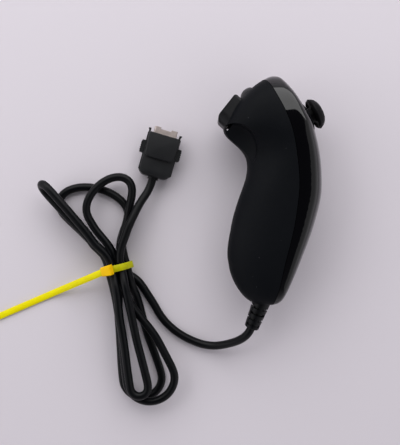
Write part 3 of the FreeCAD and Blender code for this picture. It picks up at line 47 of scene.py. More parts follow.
# Camera straight above, framed like the photograph; focal length and frame height are in pixels
view = {"place": (-35.6, -15.7, 350.0), "focal": 665.0, "frameHeight": 445.0, "sensor": 36.0,
        "near": 0.01}
cameraData = bpy.data.cameras.new("camera")
cameraData.sensor_width = view["sensor"]
cameraData.lens = view["focal"] / view["frameHeight"] * view["sensor"]
cameraData.clip_start = view["near"]
camera = bpy.data.objects.new("camera", cameraData)
camera.location = Vector(view["place"]) * mm
scene.collection.objects.link(camera)
scene.camera = camera
scene.view_settings.view_transform = "Standard"
print("camera placed")


def linear(red, green, blue):
    # a colour written as it looks on screen, 0 to 255
    values = []
    for part in (red, green, blue):
        share = part / 255
        values.append(share / 12.92 if share <= 0.04045 else ((share + 0.055) / 1.055) ** 2.4)
    return (*values, 1.0)


def addNode(tree, kind, **settings):
    node = tree.nodes.new(kind)
    for name, value in settings.items():
        setattr(node, name, value)
    return node


def fineNoise(tree, coordinates, size, detail=3.0, rough=0.55):
    noise = addNode(tree, "ShaderNodeTexNoise")
    noise.inputs["Scale"].default_value = 1000.0 / size
    noise.inputs["Detail"].default_value = detail
    noise.inputs["Roughness"].default_value = rough
    tree.links.new(coordinates, noise.inputs["Vector"])
    return noise.outputs["Fac"]


def spread(tree, source, low, high, fromLow=0.3, fromHigh=0.7):
    mapped = addNode(tree, "ShaderNodeMapRange")
    mapped.inputs["From Min"].default_value = fromLow
    mapped.inputs["From Max"].default_value = fromHigh
    mapped.inputs["To Min"].default_value = low
    mapped.inputs["To Max"].default_value = high
    tree.links.new(source, mapped.inputs["Value"])
    return mapped.outputs["Result"]


def blendColours(tree, factor, first, second):
    mix = addNode(tree, "ShaderNodeMix", data_type="RGBA")
    mix.inputs["A"].default_value = first
    mix.inputs["B"].default_value = second
    tree.links.new(factor, mix.inputs["Factor"])
    return mix


def addDust(tree, coordinates, colour, look):
    # pale specks, each fading out over its outer half
    specks = addNode(tree, "ShaderNodeTexVoronoi", feature="F1")
    specks.inputs["Scale"].default_value = 1000.0 / look["dustEvery"]
    specks.inputs["Randomness"].default_value = 1.0
    tree.links.new(coordinates, specks.inputs["Vector"])
    dust = spread(tree, specks.outputs["Distance"], look["dust"], 0.0, look["dustSize"] * 0.5,
                  look["dustSize"])
    dusted = blendColours(tree, dust, (0, 0, 0, 1), linear(*look["dustColour"]))
    tree.links.new(colour, dusted.inputs["A"])
    return dusted.outputs["Result"]


def moulded(name, look):
    # moulded plastic, rubber or metal: cloudy colour, uneven sheen and a fine grain
    material = bpy.data.materials.new(name)
    material.use_nodes = True
    tree = material.node_tree
    shader = tree.nodes["Principled BSDF"]
    coordinates = addNode(tree, "ShaderNodeTexCoord").outputs["Object"]
    clouds = spread(tree, fineNoise(tree, coordinates, look["cloudSize"]), 0.0, 1.0)
    mix = blendColours(tree, clouds, linear(*look["colour"]), linear(*look["shade"]))
    colour = mix.outputs["Result"]
    if look.get("dust"):
        colour = addDust(tree, coordinates, colour, look)
    tree.links.new(colour, shader.inputs["Base Color"])
    uneven = fineNoise(tree, coordinates, look["sheenSize"])
    sheen = spread(tree, uneven, look["smooth"], look["rough"])
    tree.links.new(sheen, shader.inputs["Roughness"])
    grain = fineNoise(tree, coordinates, look["grainSize"], detail=2.0)
    bump = addNode(tree, "ShaderNodeBump")
    bump.inputs["Strength"].default_value = look["grainStrength"]
    bump.inputs["Distance"].default_value = look["grainDepth"] * mm
    tree.links.new(grain, bump.inputs["Height"])
    tree.links.new(bump.outputs["Normal"], shader.inputs["Normal"])
    shader.inputs["Metallic"].default_value = look.get("metal", 0.0)
    shader.inputs["Specular IOR Level"].default_value = look.get("specular", 0.5)
    return material


finishes = {
    "shellMatt": {
        "colour": (9, 11, 15), "shade": (6, 8, 12), "cloudSize": 30.0, "sheenSize": 18.0,
        "smooth": 0.5, "rough": 0.6, "grainSize": 0.25, "grainStrength": 0.35, "grainDepth": 0.05,
        "specular": 0.08, "dust": 0.6, "dustEvery": 5.0, "dustSize": 0.035,
        "dustColour": (110, 108, 112)},
    "shellGloss": {
        "colour": (2, 2, 4), "shade": (1, 1, 3), "cloudSize": 40.0, "sheenSize": 12.0,
        "smooth": 0.035, "rough": 0.075, "grainSize": 2.5, "grainStrength": 0.04,
        "grainDepth": 0.02, "specular": 0.5},
    "buttonBlack": {
        "colour": (16, 16, 19), "shade": (12, 12, 15), "cloudSize": 10.0, "sheenSize": 5.0,
        "smooth": 0.34, "rough": 0.46, "grainSize": 0.22, "grainStrength": 0.3,
        "grainDepth": 0.04, "specular": 0.3},
    "rubberBlack": {
        "colour": (7, 7, 9), "shade": (4, 4, 6), "cloudSize": 6.0, "sheenSize": 4.0,
        "smooth": 0.42, "rough": 0.58, "grainSize": 0.3, "grainStrength": 0.45,
        "grainDepth": 0.06, "specular": 0.1},
    "rubberGrey": {
        "colour": (96, 98, 102), "shade": (78, 80, 84), "cloudSize": 6.0, "sheenSize": 4.0,
        "smooth": 0.55, "rough": 0.7, "grainSize": 0.3, "grainStrength": 0.4, "grainDepth": 0.05},
    "pinSteel": {
        "colour": (44, 44, 48), "shade": (32, 32, 36), "cloudSize": 2.5, "sheenSize": 1.5,
        "smooth": 0.4, "rough": 0.55, "grainSize": 0.2, "grainStrength": 0.2, "grainDepth": 0.02,
        "metal": 0.8, "specular": 0.2},
    "steel": {
        "colour": (176, 178, 182), "shade": (142, 144, 150), "cloudSize": 2.5, "sheenSize": 1.5,
        "smooth": 0.22, "rough": 0.4, "grainSize": 0.2, "grainStrength": 0.2, "grainDepth": 0.02,
        "metal": 1.0},
    "tinPlate": {
        "colour": (188, 186, 180), "shade": (160, 158, 154), "cloudSize": 4.0, "sheenSize": 2.0,
        "smooth": 0.25, "rough": 0.45, "grainSize": 0.4, "grainStrength": 0.25,
        "grainDepth": 0.03, "metal": 1.0},
    "mouldedWhite": {
        "colour": (214, 212, 204), "shade": (200, 197, 188), "cloudSize": 6.0, "sheenSize": 4.0,
        "smooth": 0.35, "rough": 0.5, "grainSize": 0.3, "grainStrength": 0.2, "grainDepth": 0.03},
    "mouldedGreen": {
        "colour": (46, 120, 84), "shade": (36, 100, 70), "cloudSize": 6.0, "sheenSize": 4.0,
        "smooth": 0.35, "rough": 0.5, "grainSize": 0.3, "grainStrength": 0.2, "grainDepth": 0.03},
    "circuitBoard": {
        "colour": (24, 92, 58), "shade": (16, 70, 44), "cloudSize": 3.0, "sheenSize": 3.0,
        "smooth": 0.3, "rough": 0.45, "grainSize": 0.5, "grainStrength": 0.3, "grainDepth": 0.03},
    "chipBlack": {
        "colour": (30, 31, 33), "shade": (22, 23, 25), "cloudSize": 3.0, "sheenSize": 3.0,
        "smooth": 0.5, "rough": 0.65, "grainSize": 0.2, "grainStrength": 0.4, "grainDepth": 0.03},
    "ceramic": {
        "colour": (176, 152, 116), "shade": (158, 134, 100), "cloudSize": 1.5, "sheenSize": 1.5,
        "smooth": 0.35, "rough": 0.5, "grainSize": 0.3, "grainStrength": 0.2, "grainDepth": 0.02},
    "cordBlack": {
        "colour": (5, 6, 9), "shade": (3, 4, 6), "cloudSize": 12.0, "sheenSize": 6.0,
        "smooth": 0.3, "rough": 0.42, "grainSize": 0.35, "grainStrength": 0.25,
        "grainDepth": 0.04, "specular": 0.16},
    "tieYellow": {
        "colour": (240, 229, 0), "shade": (232, 216, 0), "cloudSize": 9.0, "sheenSize": 5.0,
        "smooth": 0.36, "rough": 0.5, "grainSize": 0.4, "grainStrength": 0.3, "grainDepth": 0.05,
        "specular": 0.14},
    # painted shade: the tie's head is the yellow strap painted a deeper amber, standing in for
    # the shade in its thick translucent plastic
    "tieAmber": {
        "colour": (246, 196, 0), "shade": (240, 186, 0), "cloudSize": 5.0, "sheenSize": 4.0,
        "smooth": 0.4, "rough": 0.52, "grainSize": 0.4, "grainStrength": 0.3, "grainDepth": 0.05,
        "specular": 0.15},
    # painted shade: the loop round the cords is the yellow strap painted darker olive, standing
    # in for the shade of the black cords showing through it
    "tieOlive": {
        "colour": (186, 184, 0), "shade": (166, 166, 0), "cloudSize": 4.0, "sheenSize": 4.0,
        "smooth": 0.4, "rough": 0.52, "grainSize": 0.4, "grainStrength": 0.3, "grainDepth": 0.05,
        "specular": 0.15},
    "plugBlack": {
        "colour": (18, 19, 22), "shade": (13, 14, 17), "cloudSize": 8.0, "sheenSize": 5.0,
        "smooth": 0.42, "rough": 0.56, "grainSize": 0.22, "grainStrength": 0.4,
        "grainDepth": 0.05, "specular": 0.3},
    "nickel": {
        "colour": (206, 192, 186), "shade": (182, 170, 166), "cloudSize": 3.0, "sheenSize": 1.4,
        "smooth": 0.3, "rough": 0.46, "grainSize": 0.3, "grainStrength": 0.2, "grainDepth": 0.02,
        "metal": 0.6},
    "gold": {
        "colour": (226, 186, 96), "shade": (206, 162, 74), "cloudSize": 2.0, "sheenSize": 1.2,
        "smooth": 0.2, "rough": 0.32, "grainSize": 0.3, "grainStrength": 0.15, "grainDepth": 0.02,
        "metal": 1.0},
}
materials = {name: moulded(name, look) for name, look in finishes.items()}
print("finishes made:", len(materials))


def slotFinish(slotName):
    # the slot shell_matt has the finish shellMatt
    first, *others = slotName.split("_")
    return materials[first + "".join(word.capitalize() for word in others)]


for part in frame["record"]["subparts"]:
    if part["node"] in nodes:
        for place in nodes[part["node"]].material_slots:
            place.material = slotFinish(part["material_slot"])
nodes["trigger_pin"].material_slots[0].material = materials["pinSteel"]

# The cord is one line from the strain relief through the tied hank to the plug. Seven strands lie
# in three rows at the waist, and six loops leave it to either side.
cordSizes = {"diameter": 4.2, "strandGap": 0.6, "strapClearance": 0.3, "strapThickness": 1.0,
             "groundGap": 0.05, "waist": (-78.0, -38.9), "waistAngle": 104.0, "pointEvery": 3.6}
cordRadius = cordSizes["diameter"] / 2
pitch = cordSizes["diameter"] + cordSizes["strandGap"]
rowStep = pitch * math.sqrt(3) / 2
waist = Vector((*cordSizes["waist"], 0.0))
waistHeight = (rowStep + cordRadius + cordSizes["strapClearance"] + cordSizes["strapThickness"]
               + cordSizes["groundGap"])
waistAngle = cordSizes["waistAngle"]
waistAxis = Vector((math.cos(math.radians(waistAngle)), math.sin(math.radians(waistAngle)), 0.0))
waistAcross = Vector((waistAxis.y, -waistAxis.x, 0.0))
waistSlots = {"bottomLeft": (-0.5, -1), "bottomRight": (0.5, -1), "left": (-1, 0),
              "centre": (0, 0), "right": (1, 0), "topLeft": (-0.5, 1), "topRight": (0.5, 1)}
hankLoops = [
    {"start": "bottomRight", "end": "bottomLeft", "tip": 113.5, "length": 45.5, "half": 22.0,
     "side": -1, "skew": 0.42, "widen": 1.3, "level": 2.2, "reach": (9, 9), "delay": (1, 1),
     "fade": 26, "blend": (26, 15), "bow": 0.0, "roll": 0.0},
    {"start": "bottomLeft", "end": "right", "tip": -78.1, "length": 69.5, "half": 8.6,
     "side": -1, "skew": 0.0, "widen": 1.05, "level": 2.2, "reach": (9, 9), "delay": (1, 8),
     "fade": 44, "blend": (26, 22), "bow": 0.2, "roll": 0.0},
    {"start": "right", "end": "centre", "tip": 97.2, "length": 45.5, "half": 17.0,
     "side": -1, "skew": -0.36, "widen": 1.22, "level": 7.2, "reach": (12, 12), "delay": (1, 1),
     "fade": 28, "blend": (26, 24), "bow": 0.0, "roll": 0.0},
    {"start": "centre", "end": "left", "tip": -73.3, "length": 71.0, "half": 10.6,
     "side": 1, "skew": 0.0, "widen": 1.08, "level": 9.4, "reach": (10, 12), "delay": (1, 1),
     "fade": 36, "blend": (42, 26), "bow": 0.1, "roll": 0.0},
    {"start": "left", "end": "topLeft", "tip": 132.0, "length": 57.5, "half": 4.2,
     "side": 1, "skew": 0.0, "widen": 1.0, "level": 11.7, "reach": (45, 45), "delay": (1, 1),
     "fade": 24, "blend": (17, 17), "bow": 0.5, "roll": 66.0},
    {"start": "topLeft", "end": "topRight", "tip": -79.0, "length": 66.0, "half": 3.9,
     "side": -1, "skew": 0.0, "widen": 1.08, "level": 14.1, "reach": (9.5, 9.5), "delay": (1, 1),
     "fade": 44, "blend": (26, 26), "bow": 0.15, "roll": 0.0},
]
hankEntry = {"slot": "bottomRight", "swing": -28.0, "swingOver": 7.0, "settle": -57.0,
             "settleOver": 8.0, "length": 19.5, "level": 2.15, "reach": 6.0}
hankLeave = {"slot": "topRight", "swing": 70.0, "swingOver": 12.0, "settle": 70.0,
             "settleOver": 1.0, "length": 18.0, "level": 12.0, "reach": 12.0}


def smooth(value):
    value = min(max(value, 0.0), 1.0)
    return value * value * (3 - 2 * value)


def headingVector(degrees):
    return Vector((math.cos(math.radians(degrees)), math.sin(math.radians(degrees)), 0.0))


def loopPoint(loop, share):
    # a pear outline: two straight sides and a round end, bent into the waist's line near it
    half = math.radians(loop["half"])
    far = loop["length"] / (1 + math.sin(half))
    bend = far * math.sin(half)
    side = far * math.cos(half)
    total = 2 * side + bend * (math.pi + 2 * half)
    run = total * share
    if run < side:
        out, off = run * math.cos(half), run * math.sin(half)
    elif run > total - side:
        out, off = (total - run) * math.cos(half), -(total - run) * math.sin(half)
    else:
        turn = math.pi / 2 + half - (run - side) / bend
        out, off = far + bend * math.cos(turn), bend * math.sin(turn)
    bow = 1 + loop["bow"] * math.sin(math.pi * min(out / loop["length"], 1))
    off *= loop["side"] * loop["widen"] * bow
    roll = math.radians(loop["roll"])
    lift = -off * math.sin(roll)
    off *= math.cos(roll)
    out += loop["skew"] * off
    radius = math.hypot(out, off)
    homeward = 1 if share >= 0.5 else 0
    across, row = waistSlots[loop["end" if homeward else "start"]]
    waistSide = waistAngle if loop["tip"] > 0 else waistAngle - 180
    heading = loop["tip"] + math.degrees(math.atan2(off, out))
    angle = waistSide + (heading - waistSide) * smooth(radius / loop["blend"][homeward])
    offset = across * pitch * (1 - smooth(radius / loop["fade"]))
    slotHeight = waistHeight + row * rowStep
    climb = smooth((radius - loop["delay"][homeward]) / loop["reach"][homeward])
    height = slotHeight + (loop["level"] - slotHeight) * climb + lift
    return waist + headingVector(angle) * radius + waistAcross * offset + Vector((0, 0, height))


def tailPoints(tail, towardsTip, steps=60):
    # a strand that leaves the waist along its line, swings aside and settles on its own heading
    across, row = waistSlots[tail["slot"]]
    slotHeight = waistHeight + row * rowStep
    waistSide = waistAngle if towardsTip else waistAngle - 180
    place = waist + waistAcross * (across * pitch) + Vector((0, 0, slotHeight))
    points = [place]
    step = tail["length"] / steps
    for index in range(steps):
        run = (index + 0.5) * step
        swung = smooth(run / tail["swingOver"])
        settled = smooth((run - tail["swingOver"]) / tail["settleOver"])
        heading = waistSide + (tail["swing"] - waistSide) * swung
        heading += (tail["settle"] - tail["swing"]) * settled
        place = place + headingVector(heading) * step
        climb = smooth((index + 1) * step / tail["reach"])
        height = slotHeight + (tail["level"] - slotHeight) * climb
        points.append(Vector((place.x, place.y, height)))
    return points


def hankLine(steps=600):
    # all loops in fine steps, then points at an even distance along them
    fine = list(reversed(tailPoints(hankEntry, False)))
    for loop in hankLoops:
        fine += [loopPoint(loop, index / steps) for index in range(1, steps)]
    fine += tailPoints(hankLeave, True)
    runs = [0.0]
    for first, last in zip(fine, fine[1:]):
        runs.append(runs[-1] + (last - first).length)
    count = round(runs[-1] / cordSizes["pointEvery"])
    points = []
    place = 0
    for index in range(count + 1):
        run = runs[-1] * index / count
        while place < len(fine) - 2 and runs[place + 1] < run:
            place += 1
        share = (run - runs[place]) / (runs[place + 1] - runs[place])
        points.append(fine[place].lerp(fine[place + 1], share))
    return points


# Where the strain relief ends, and the plug's own frame: y runs towards its tongue, z upwards
boot = {"start": (-4.9, -55.0, 19.0), "way": (-0.348, -0.926, -0.15), "length": 14.4}
bootWay = Vector(boot["way"]).normalized()
bootEnd = Vector(boot["start"]) + bootWay * boot["length"]
plugSizes = {"middle": (-57.6, 18.5), "turn": -15.5, "roll": 8.0, "width": 16.6, "length": 22.0,
             "baseHeight": 5.3, "collar": 1.2, "groundGap": 0.02, "entryDrop": 0.3}
plugLift = (plugSizes["width"] / 2 * math.sin(math.radians(plugSizes["roll"]))
            + plugSizes["groundGap"])
plugFrame = (Matrix.Translation((*plugSizes["middle"], plugLift))
             @ Matrix.Rotation(math.radians(plugSizes["turn"]), 4, "Z")
             @ Matrix.Rotation(math.radians(plugSizes["roll"]), 4, "Y"))
plugPlace = plugFrame.copy()    # the same frame in metres
plugPlace.translation = plugFrame.translation * mm
plugForward = (plugFrame.to_3x3() @ Vector((0, 1, 0))).normalized()
plugEnd = plugFrame @ Vector((0, -plugSizes["length"] / 2 - plugSizes["collar"],
                              plugSizes["baseHeight"] - plugSizes["entryDrop"]))

# The straight runs lead the cord out of the strain relief, the hank and the plug
leads = {"bootRun": 3.4, "entryRun": 6.5, "leaveRun": 5.0, "plugRun": 5.4,
         "bodySide": [(-15.5, -75.6, 12.4), (-21.6, -78.4, 7.3), (-28.5, -80.1, 3.9),
                      (-36.5, -79.0, 2.15), (-47.0, -73.9, 2.15), (-55.3, -66.3, 2.15)],
         "plugSide": [(-66.5, -5.6, 9.0)]}
hankPoints = hankLine()
entryWay = (hankPoints[1] - hankPoints[0]).normalized()
leaveWay = (hankPoints[-1] - hankPoints[-2]).normalized()
cordPoints = [bootEnd, bootEnd + bootWay * leads["bootRun"]]
cordPoints += [Vector(point) for point in leads["bodySide"]]
cordPoints += [hankPoints[0] - entryWay * leads["entryRun"], *hankPoints,
               hankPoints[-1] + leaveWay * leads["leaveRun"]]
cordPoints += [Vector(point) for point in leads["plugSide"]]
cordPoints += [plugEnd - plugForward * leads["plugRun"], plugEnd]

cordCurve = bpy.data.curves.new("cord", "CURVE")
cordCurve.dimensions = "3D"
cordSpline = cordCurve.splines.new("NURBS")
cordSpline.points.add(len(cordPoints) - 1)
for controlPoint, place in zip(cordSpline.points, cordPoints):
    controlPoint.co = (*(place * mm), 1.0)
cordSpline.order_u = 3
cordSpline.use_endpoint_u = True
cordSpline.resolution_u = 4
cordCurve.bevel_depth = cordRadius * mm
cordCurve.bevel_resolution = 5
cordCurve.use_fill_caps = True
cordCurve.materials.append(materials["cordBlack"])
cord = bpy.data.objects.new("cord", cordCurve)
scene.collection.objects.link(cord)
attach(cord, "handset")
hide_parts("cord_lead", "cord_hank", "cord_plug_lead")
print("cord laid:", len(cordPoints), "points")


def meshObject(name, mesh, slotName, body):
    piece = bpy.data.objects.new(name, mesh)
    scene.collection.objects.link(piece)
    if not mesh.materials:
        mesh.materials.append(slotFinish(slotName))
    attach(piece, body)
    return piece


def builtMesh(name, built, rounded=True):
    mesh = bpy.data.meshes.new(name)
    built.to_mesh(mesh)
    built.free()
    if rounded:
        for face in mesh.polygons:
            face.use_smooth = True
    return mesh


def bandFaces(built, sections, closed):
    # sections is a list of rings of points, all with the same count
    rings = [[built.verts.new(point * mm) for point in ring] for ring in sections]
    pairs = list(zip(rings, rings[1:]))
    if closed:
        pairs.append((rings[-1], rings[0]))
    for first, second in pairs:
        for index in range(len(first)):
            after = (index + 1) % len(first)
            built.faces.new((first[index], first[after], second[after], second[index]))
    if not closed:
        built.faces.new(list(reversed(rings[0])))
        built.faces.new(rings[-1])
    bmesh.ops.recalc_face_normals(built, faces=built.faces)
    return rings


def bandMesh(name, sections, closed):
    built = bmesh.new()
    bandFaces(built, sections, closed)
    return builtMesh(name, built)


def joinMeshes(name, meshes):
    # each mesh comes with the place of its material in the joined mesh
    built = bmesh.new()
    for mesh, materialPlace in meshes:
        before = len(built.faces)
        built.from_mesh(mesh)
        built.faces.ensure_lookup_table()
        for face in built.faces[before:]:
            face.material_index = materialPlace
        bpy.data.meshes.remove(mesh)
    return builtMesh(name, built, rounded=False)


def pointMesh(name, points, joined=False):
    # the points that a tree starts from, loose or joined to a line
    edges = [(index, index + 1) for index in range(len(points) - 1)] if joined else []
    mesh = bpy.data.meshes.new(name)
    mesh.from_pydata([tuple(point * mm) for point in points], edges, [])
    return mesh


def newTree(name, inputs):
    tree = bpy.data.node_groups.new(name, "GeometryNodeTree")
    geometry = "NodeSocketGeometry"
    tree.interface.new_socket("Geometry", in_out="INPUT", socket_type=geometry)
    for label, kind in inputs.items():
        tree.interface.new_socket(label, in_out="INPUT", socket_type="NodeSocket" + kind)
    tree.interface.new_socket("Geometry", in_out="OUTPUT", socket_type=geometry)
    given = tree.nodes.new("NodeGroupInput").outputs
    result = tree.nodes.new("NodeGroupOutput").inputs
    return tree, given, result


def placeCopies(tree, points, piece, turn=None):
    copies = tree.nodes.new("GeometryNodeInstanceOnPoints")
    tree.links.new(points, copies.inputs["Points"])
    tree.links.new(piece, copies.inputs["Instance"])
    if turn:
        tree.links.new(turn, copies.inputs["Rotation"])
    return copies.outputs["Instances"]


def finishTree(tree, geometry, given, result):
    real = tree.nodes.new("GeometryNodeRealizeInstances")
    tree.links.new(geometry, real.inputs["Geometry"])
    painted = tree.nodes.new("GeometryNodeSetMaterial")
    tree.links.new(real.outputs["Geometry"], painted.inputs["Geometry"])
    tree.links.new(given["Material"], painted.inputs["Material"])
    tree.links.new(painted.outputs["Geometry"], result["Geometry"])


def madeReal(name, mesh, tree, values):
    # the tree runs on a host mesh and its result comes back as a plain mesh
    host = bpy.data.objects.new(name + "Host", mesh)
    scene.collection.objects.link(host)
    modifier = host.modifiers.new("tree", "NODES")
    modifier.node_group = tree
    sockets = {item.name: item.identifier for item in tree.interface.items_tree
               if item.in_out == "INPUT"}
    for label, value in values.items():
        modifier[sockets[label]] = value
    graph = bpy.context.evaluated_depsgraph_get()
    plain = bpy.data.meshes.new_from_object(host.evaluated_get(graph), depsgraph=graph)
    plain.name = name
    host.modifiers.remove(modifier)
    bpy.data.objects.remove(host)
    return plain


def sizedBox(tree, x, y, z):
    cube = tree.nodes.new("GeometryNodeMeshCube")
    size = tree.nodes.new("ShaderNodeCombineXYZ")
    for socket, source in zip(size.inputs, (x, y, z)):
        tree.links.new(source, socket)
    tree.links.new(size.outputs["Vector"], cube.inputs["Size"])
    return cube.outputs["Mesh"]


# The cable tie: a loop round the seven strands, a head on it and a toothed tail to the ground
tie = {"width": 3.4, "thickness": cordSizes["strapThickness"],
       "clearance": cordSizes["strapClearance"], "loopCorner": 0.18, "turnSteps": 6,
       "head": 5.4, "headHeight": 4.2, "headSink": 0.35, "headNarrow": 0.86, "headBevel": 0.8,
       "lean": 112.0, "slotInset": 0.8,
       "tailEnd": (-146.0, -67.1), "tailCorner": 0.15, "tailSteps": 90, "taperRun": 5.0,
       "tipShare": 0.5, "groundGap": 0.02,
       "toothStep": 1.3, "toothRun": 0.85, "toothDeep": 0.28, "toothSink": 0.01, "rail": 0.45,
       "teethStart": 3.2, "teethShort": 9.0, "teethSteps": 100}
tieMiddle = waist + Vector((0, 0, waistHeight))


def tiePoint(across, up):
    return tieMiddle + waistAcross * across + Vector((0, 0, up))


def strapRing(place, across, up, width, low, high, corner):
    # an oblong section with cut corners, from low to high along up
    half = width / 2
    outline = [(-half + corner, low), (half - corner, low), (half, low + corner),
               (half, high - corner), (half - corner, high), (-half + corner, high),
               (-half, high - corner), (-half, low + corner)]
    return [place + across * side + up * rise for side, rise in outline]


def tieLoopSections():
    # the strap lies round the outline of the seven strands: flats joined by round corners
    order = ["bottomLeft", "bottomRight", "right", "topRight", "topLeft", "left"]
    corners = [Vector((waistSlots[name][0] * pitch, waistSlots[name][1] * rowStep))
               for name in order]
    inside = cordRadius + tie["clearance"]
    sections = []
    for index, corner in enumerate(corners):
        before = corners[index - 1]
        after = corners[(index + 1) % len(corners)]
        firstSide = (corner - before).normalized()
        lastSide = (after - corner).normalized()
        firstOut = Vector((firstSide.y, -firstSide.x))
        lastOut = Vector((lastSide.y, -lastSide.x))
        for step in range(tie["turnSteps"] + 1):
            out = firstOut.lerp(lastOut, step / tie["turnSteps"]).normalized()
            base = corner + out * inside
            outward = waistAcross * out.x + Vector((0, 0, out.y))
            sections.append(strapRing(tiePoint(base.x, base.y), waistAxis, outward, tie["width"],
                                      0.0, tie["thickness"], tie["loopCorner"]))
    return sections, corners, inside


loopSections, tieCorners, tieInside = tieLoopSections()
leanWay = Vector((math.cos(math.radians(tie["lean"])), math.sin(math.radians(tie["lean"]))))
leanSide = Vector((-leanWay.y, leanWay.x))
tieSeat = tieCorners[4] + leanWay * (tieInside + tie["thickness"] - tie["headSink"])
tailSlot = (tieSeat + leanSide * (tie["head"] / 2 - tie["slotInset"])
            + leanWay * (tie["headHeight"] * 0.5))
tailStart = tiePoint(tailSlot.x, tailSlot.y)
tailFloor = tie["thickness"] / 2 + tie["groundGap"]
tailAlong = Vector((tie["tailEnd"][0] - tailStart.x, tie["tailEnd"][1] - tailStart.y, 0.0))
tailSpan = tailAlong.length
tailAlong.normalize()
tailAside = Vector((-tailAlong.y, tailAlong.x, 0.0))
# the tail's side view: distance along the ground, height and slope
tailLine = [(0.0, tailStart.z, -24.0), (14.0, tailStart.z - 7.2, -27.0), (27.0, 2.2, -20.0),
            (38.0, tailFloor, 0.0), (tailSpan, tailFloor, 0.0)]


def tailAt(run):
    # height and slope at a distance along the ground, by a cubic between the points of tailLine
    for (firstRun, firstHigh, firstSlope), (lastRun, lastHigh, lastSlope) in zip(tailLine,
                                                                                 tailLine[1:]):
        if run <= lastRun:
            break
    span = lastRun - firstRun
    share = min(max((run - firstRun) / span, 0.0), 1.0)
    firstTan = math.tan(math.radians(firstSlope)) * span
    lastTan = math.tan(math.radians(lastSlope)) * span
    square, cube = share * share, share ** 3
    height = ((2 * cube - 3 * square + 1) * firstHigh + (cube - 2 * square + share) * firstTan
              + (3 * square - 2 * cube) * lastHigh + (cube - square) * lastTan)
    slope = ((6 * square - 6 * share) * firstHigh + (3 * square - 4 * share + 1) * firstTan
             + (6 * share - 6 * square) * lastHigh + (3 * square - 2 * share) * lastTan) / span
    return height, math.atan(slope)


def tailFrame(run):
    height, slope = tailAt(run)
    place = Vector((tailStart.x, tailStart.y, 0.0)) + tailAlong * run + Vector((0, 0, height))
    up = Vector((0, 0, math.cos(slope))) - tailAlong * math.sin(slope)
    return place, up


def tieTailSections():
    sections = []
    half = tie["thickness"] / 2
    for index in range(tie["tailSteps"] + 1):
        run = tailSpan * index / tie["tailSteps"]
        place, up = tailFrame(run)
        taper = min((tailSpan - run) / tie["taperRun"], 1.0)
        width = tie["width"] * (tie["tipShare"] + (1 - tie["tipShare"]) * taper)
        sections.append(strapRing(place, tailAside, up, width, -half + tie["toothDeep"], half,
                                  tie["tailCorner"]))
    return sections


def tieHeadMesh():
    # a block with rounded edges, narrower on the side that the tail leaves by
    built = bmesh.new()
    bmesh.ops.create_cube(built, size=1.0)
    half = Vector((tie["head"] / 2, tie["headHeight"] / 2, tie["head"] / 2))
    middle = tieSeat + leanWay * (tie["headHeight"] / 2)
    sideWay = waistAcross * leanSide.x + Vector((0, 0, leanSide.y))
    upWay = waistAcross * leanWay.x + Vector((0, 0, leanWay.y))
    for vert in built.verts:
        narrow = tie["headNarrow"] if vert.co.x > 0 else 1.0
        side = vert.co.x * 2 * half.x
        rise = vert.co.y * 2 * half.y
        along = vert.co.z * 2 * half.z * narrow
        vert.co = (tiePoint(middle.x, middle.y) + sideWay * side + upWay * rise
                   + waistAxis * along) * mm
    bmesh.ops.recalc_face_normals(built, faces=built.faces)
    bmesh.ops.bevel(built, geom=list(built.edges), offset=tie["headBevel"] * mm, segments=4,
                    affect="EDGES", profile=0.6)
    return builtMesh("tieHead", built)


def toothLine():
    # just under the tail's lower face, clear of the head and of the tapered tip
    depth = tie["thickness"] / 2 - tie["toothDeep"] / 2 - tie["toothSink"]
    points = []
    for index in range(tie["teethSteps"] + 1):
        share = (tailSpan - tie["teethShort"]) * index / tie["teethSteps"]
        place, up = tailFrame(tie["teethStart"] + share)
        points.append(place - up * depth)
    return points


def teethTree():
    # bars across a strap at even steps along its line
    tree, given, result = newTree("rackTeeth", {
        "Step": "Float", "Width": "Float", "Run": "Float", "Depth": "Float",
        "Material": "Material"})
    line = tree.nodes.new("GeometryNodeMeshToCurve")
    tree.links.new(given["Geometry"], line.inputs["Mesh"])
    upright = addNode(tree, "GeometryNodeSetCurveNormal", mode="Z_UP")
    tree.links.new(line.outputs["Curve"], upright.inputs["Curve"])
    places = addNode(tree, "GeometryNodeCurveToPoints", mode="LENGTH")
    tree.links.new(upright.outputs["Curve"], places.inputs["Curve"])
    tree.links.new(given["Step"], places.inputs["Length"])
    tooth = sizedBox(tree, given["Width"], given["Depth"], given["Run"])
    copies = placeCopies(tree, places.outputs["Points"], tooth, places.outputs["Rotation"])
    finishTree(tree, copies, given, result)
    return tree


rackTeeth = madeReal("tieTeeth", pointMesh("toothLine", toothLine(), joined=True), teethTree(), {
    "Step": tie["toothStep"] * mm, "Width": (tie["width"] - 2 * tie["rail"]) * mm,
    "Run": tie["toothRun"] * mm, "Depth": tie["toothDeep"] * mm,
    "Material": materials["tieYellow"]})
tieMesh = joinMeshes("cableTie", [
    (rackTeeth, 0), (bandMesh("tieTail", tieTailSections(), False), 0),
    (tieHeadMesh(), 1), (bandMesh("tieLoop", loopSections, True), 2)])
# painted shade: the head and the loop round the cords are copies of the yellow strap painted
# deeper and darker, for the shade in the thick translucent head and where the black cords show
# through and shade the thin strap
for finish in ("tieYellow", "tieAmber", "tieOlive"):
    tieMesh.materials.append(materials[finish])
cableTie = meshObject("cableTie", tieMesh, "tie_yellow", "handset")
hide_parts("cable_tie")
print("cable tie made")

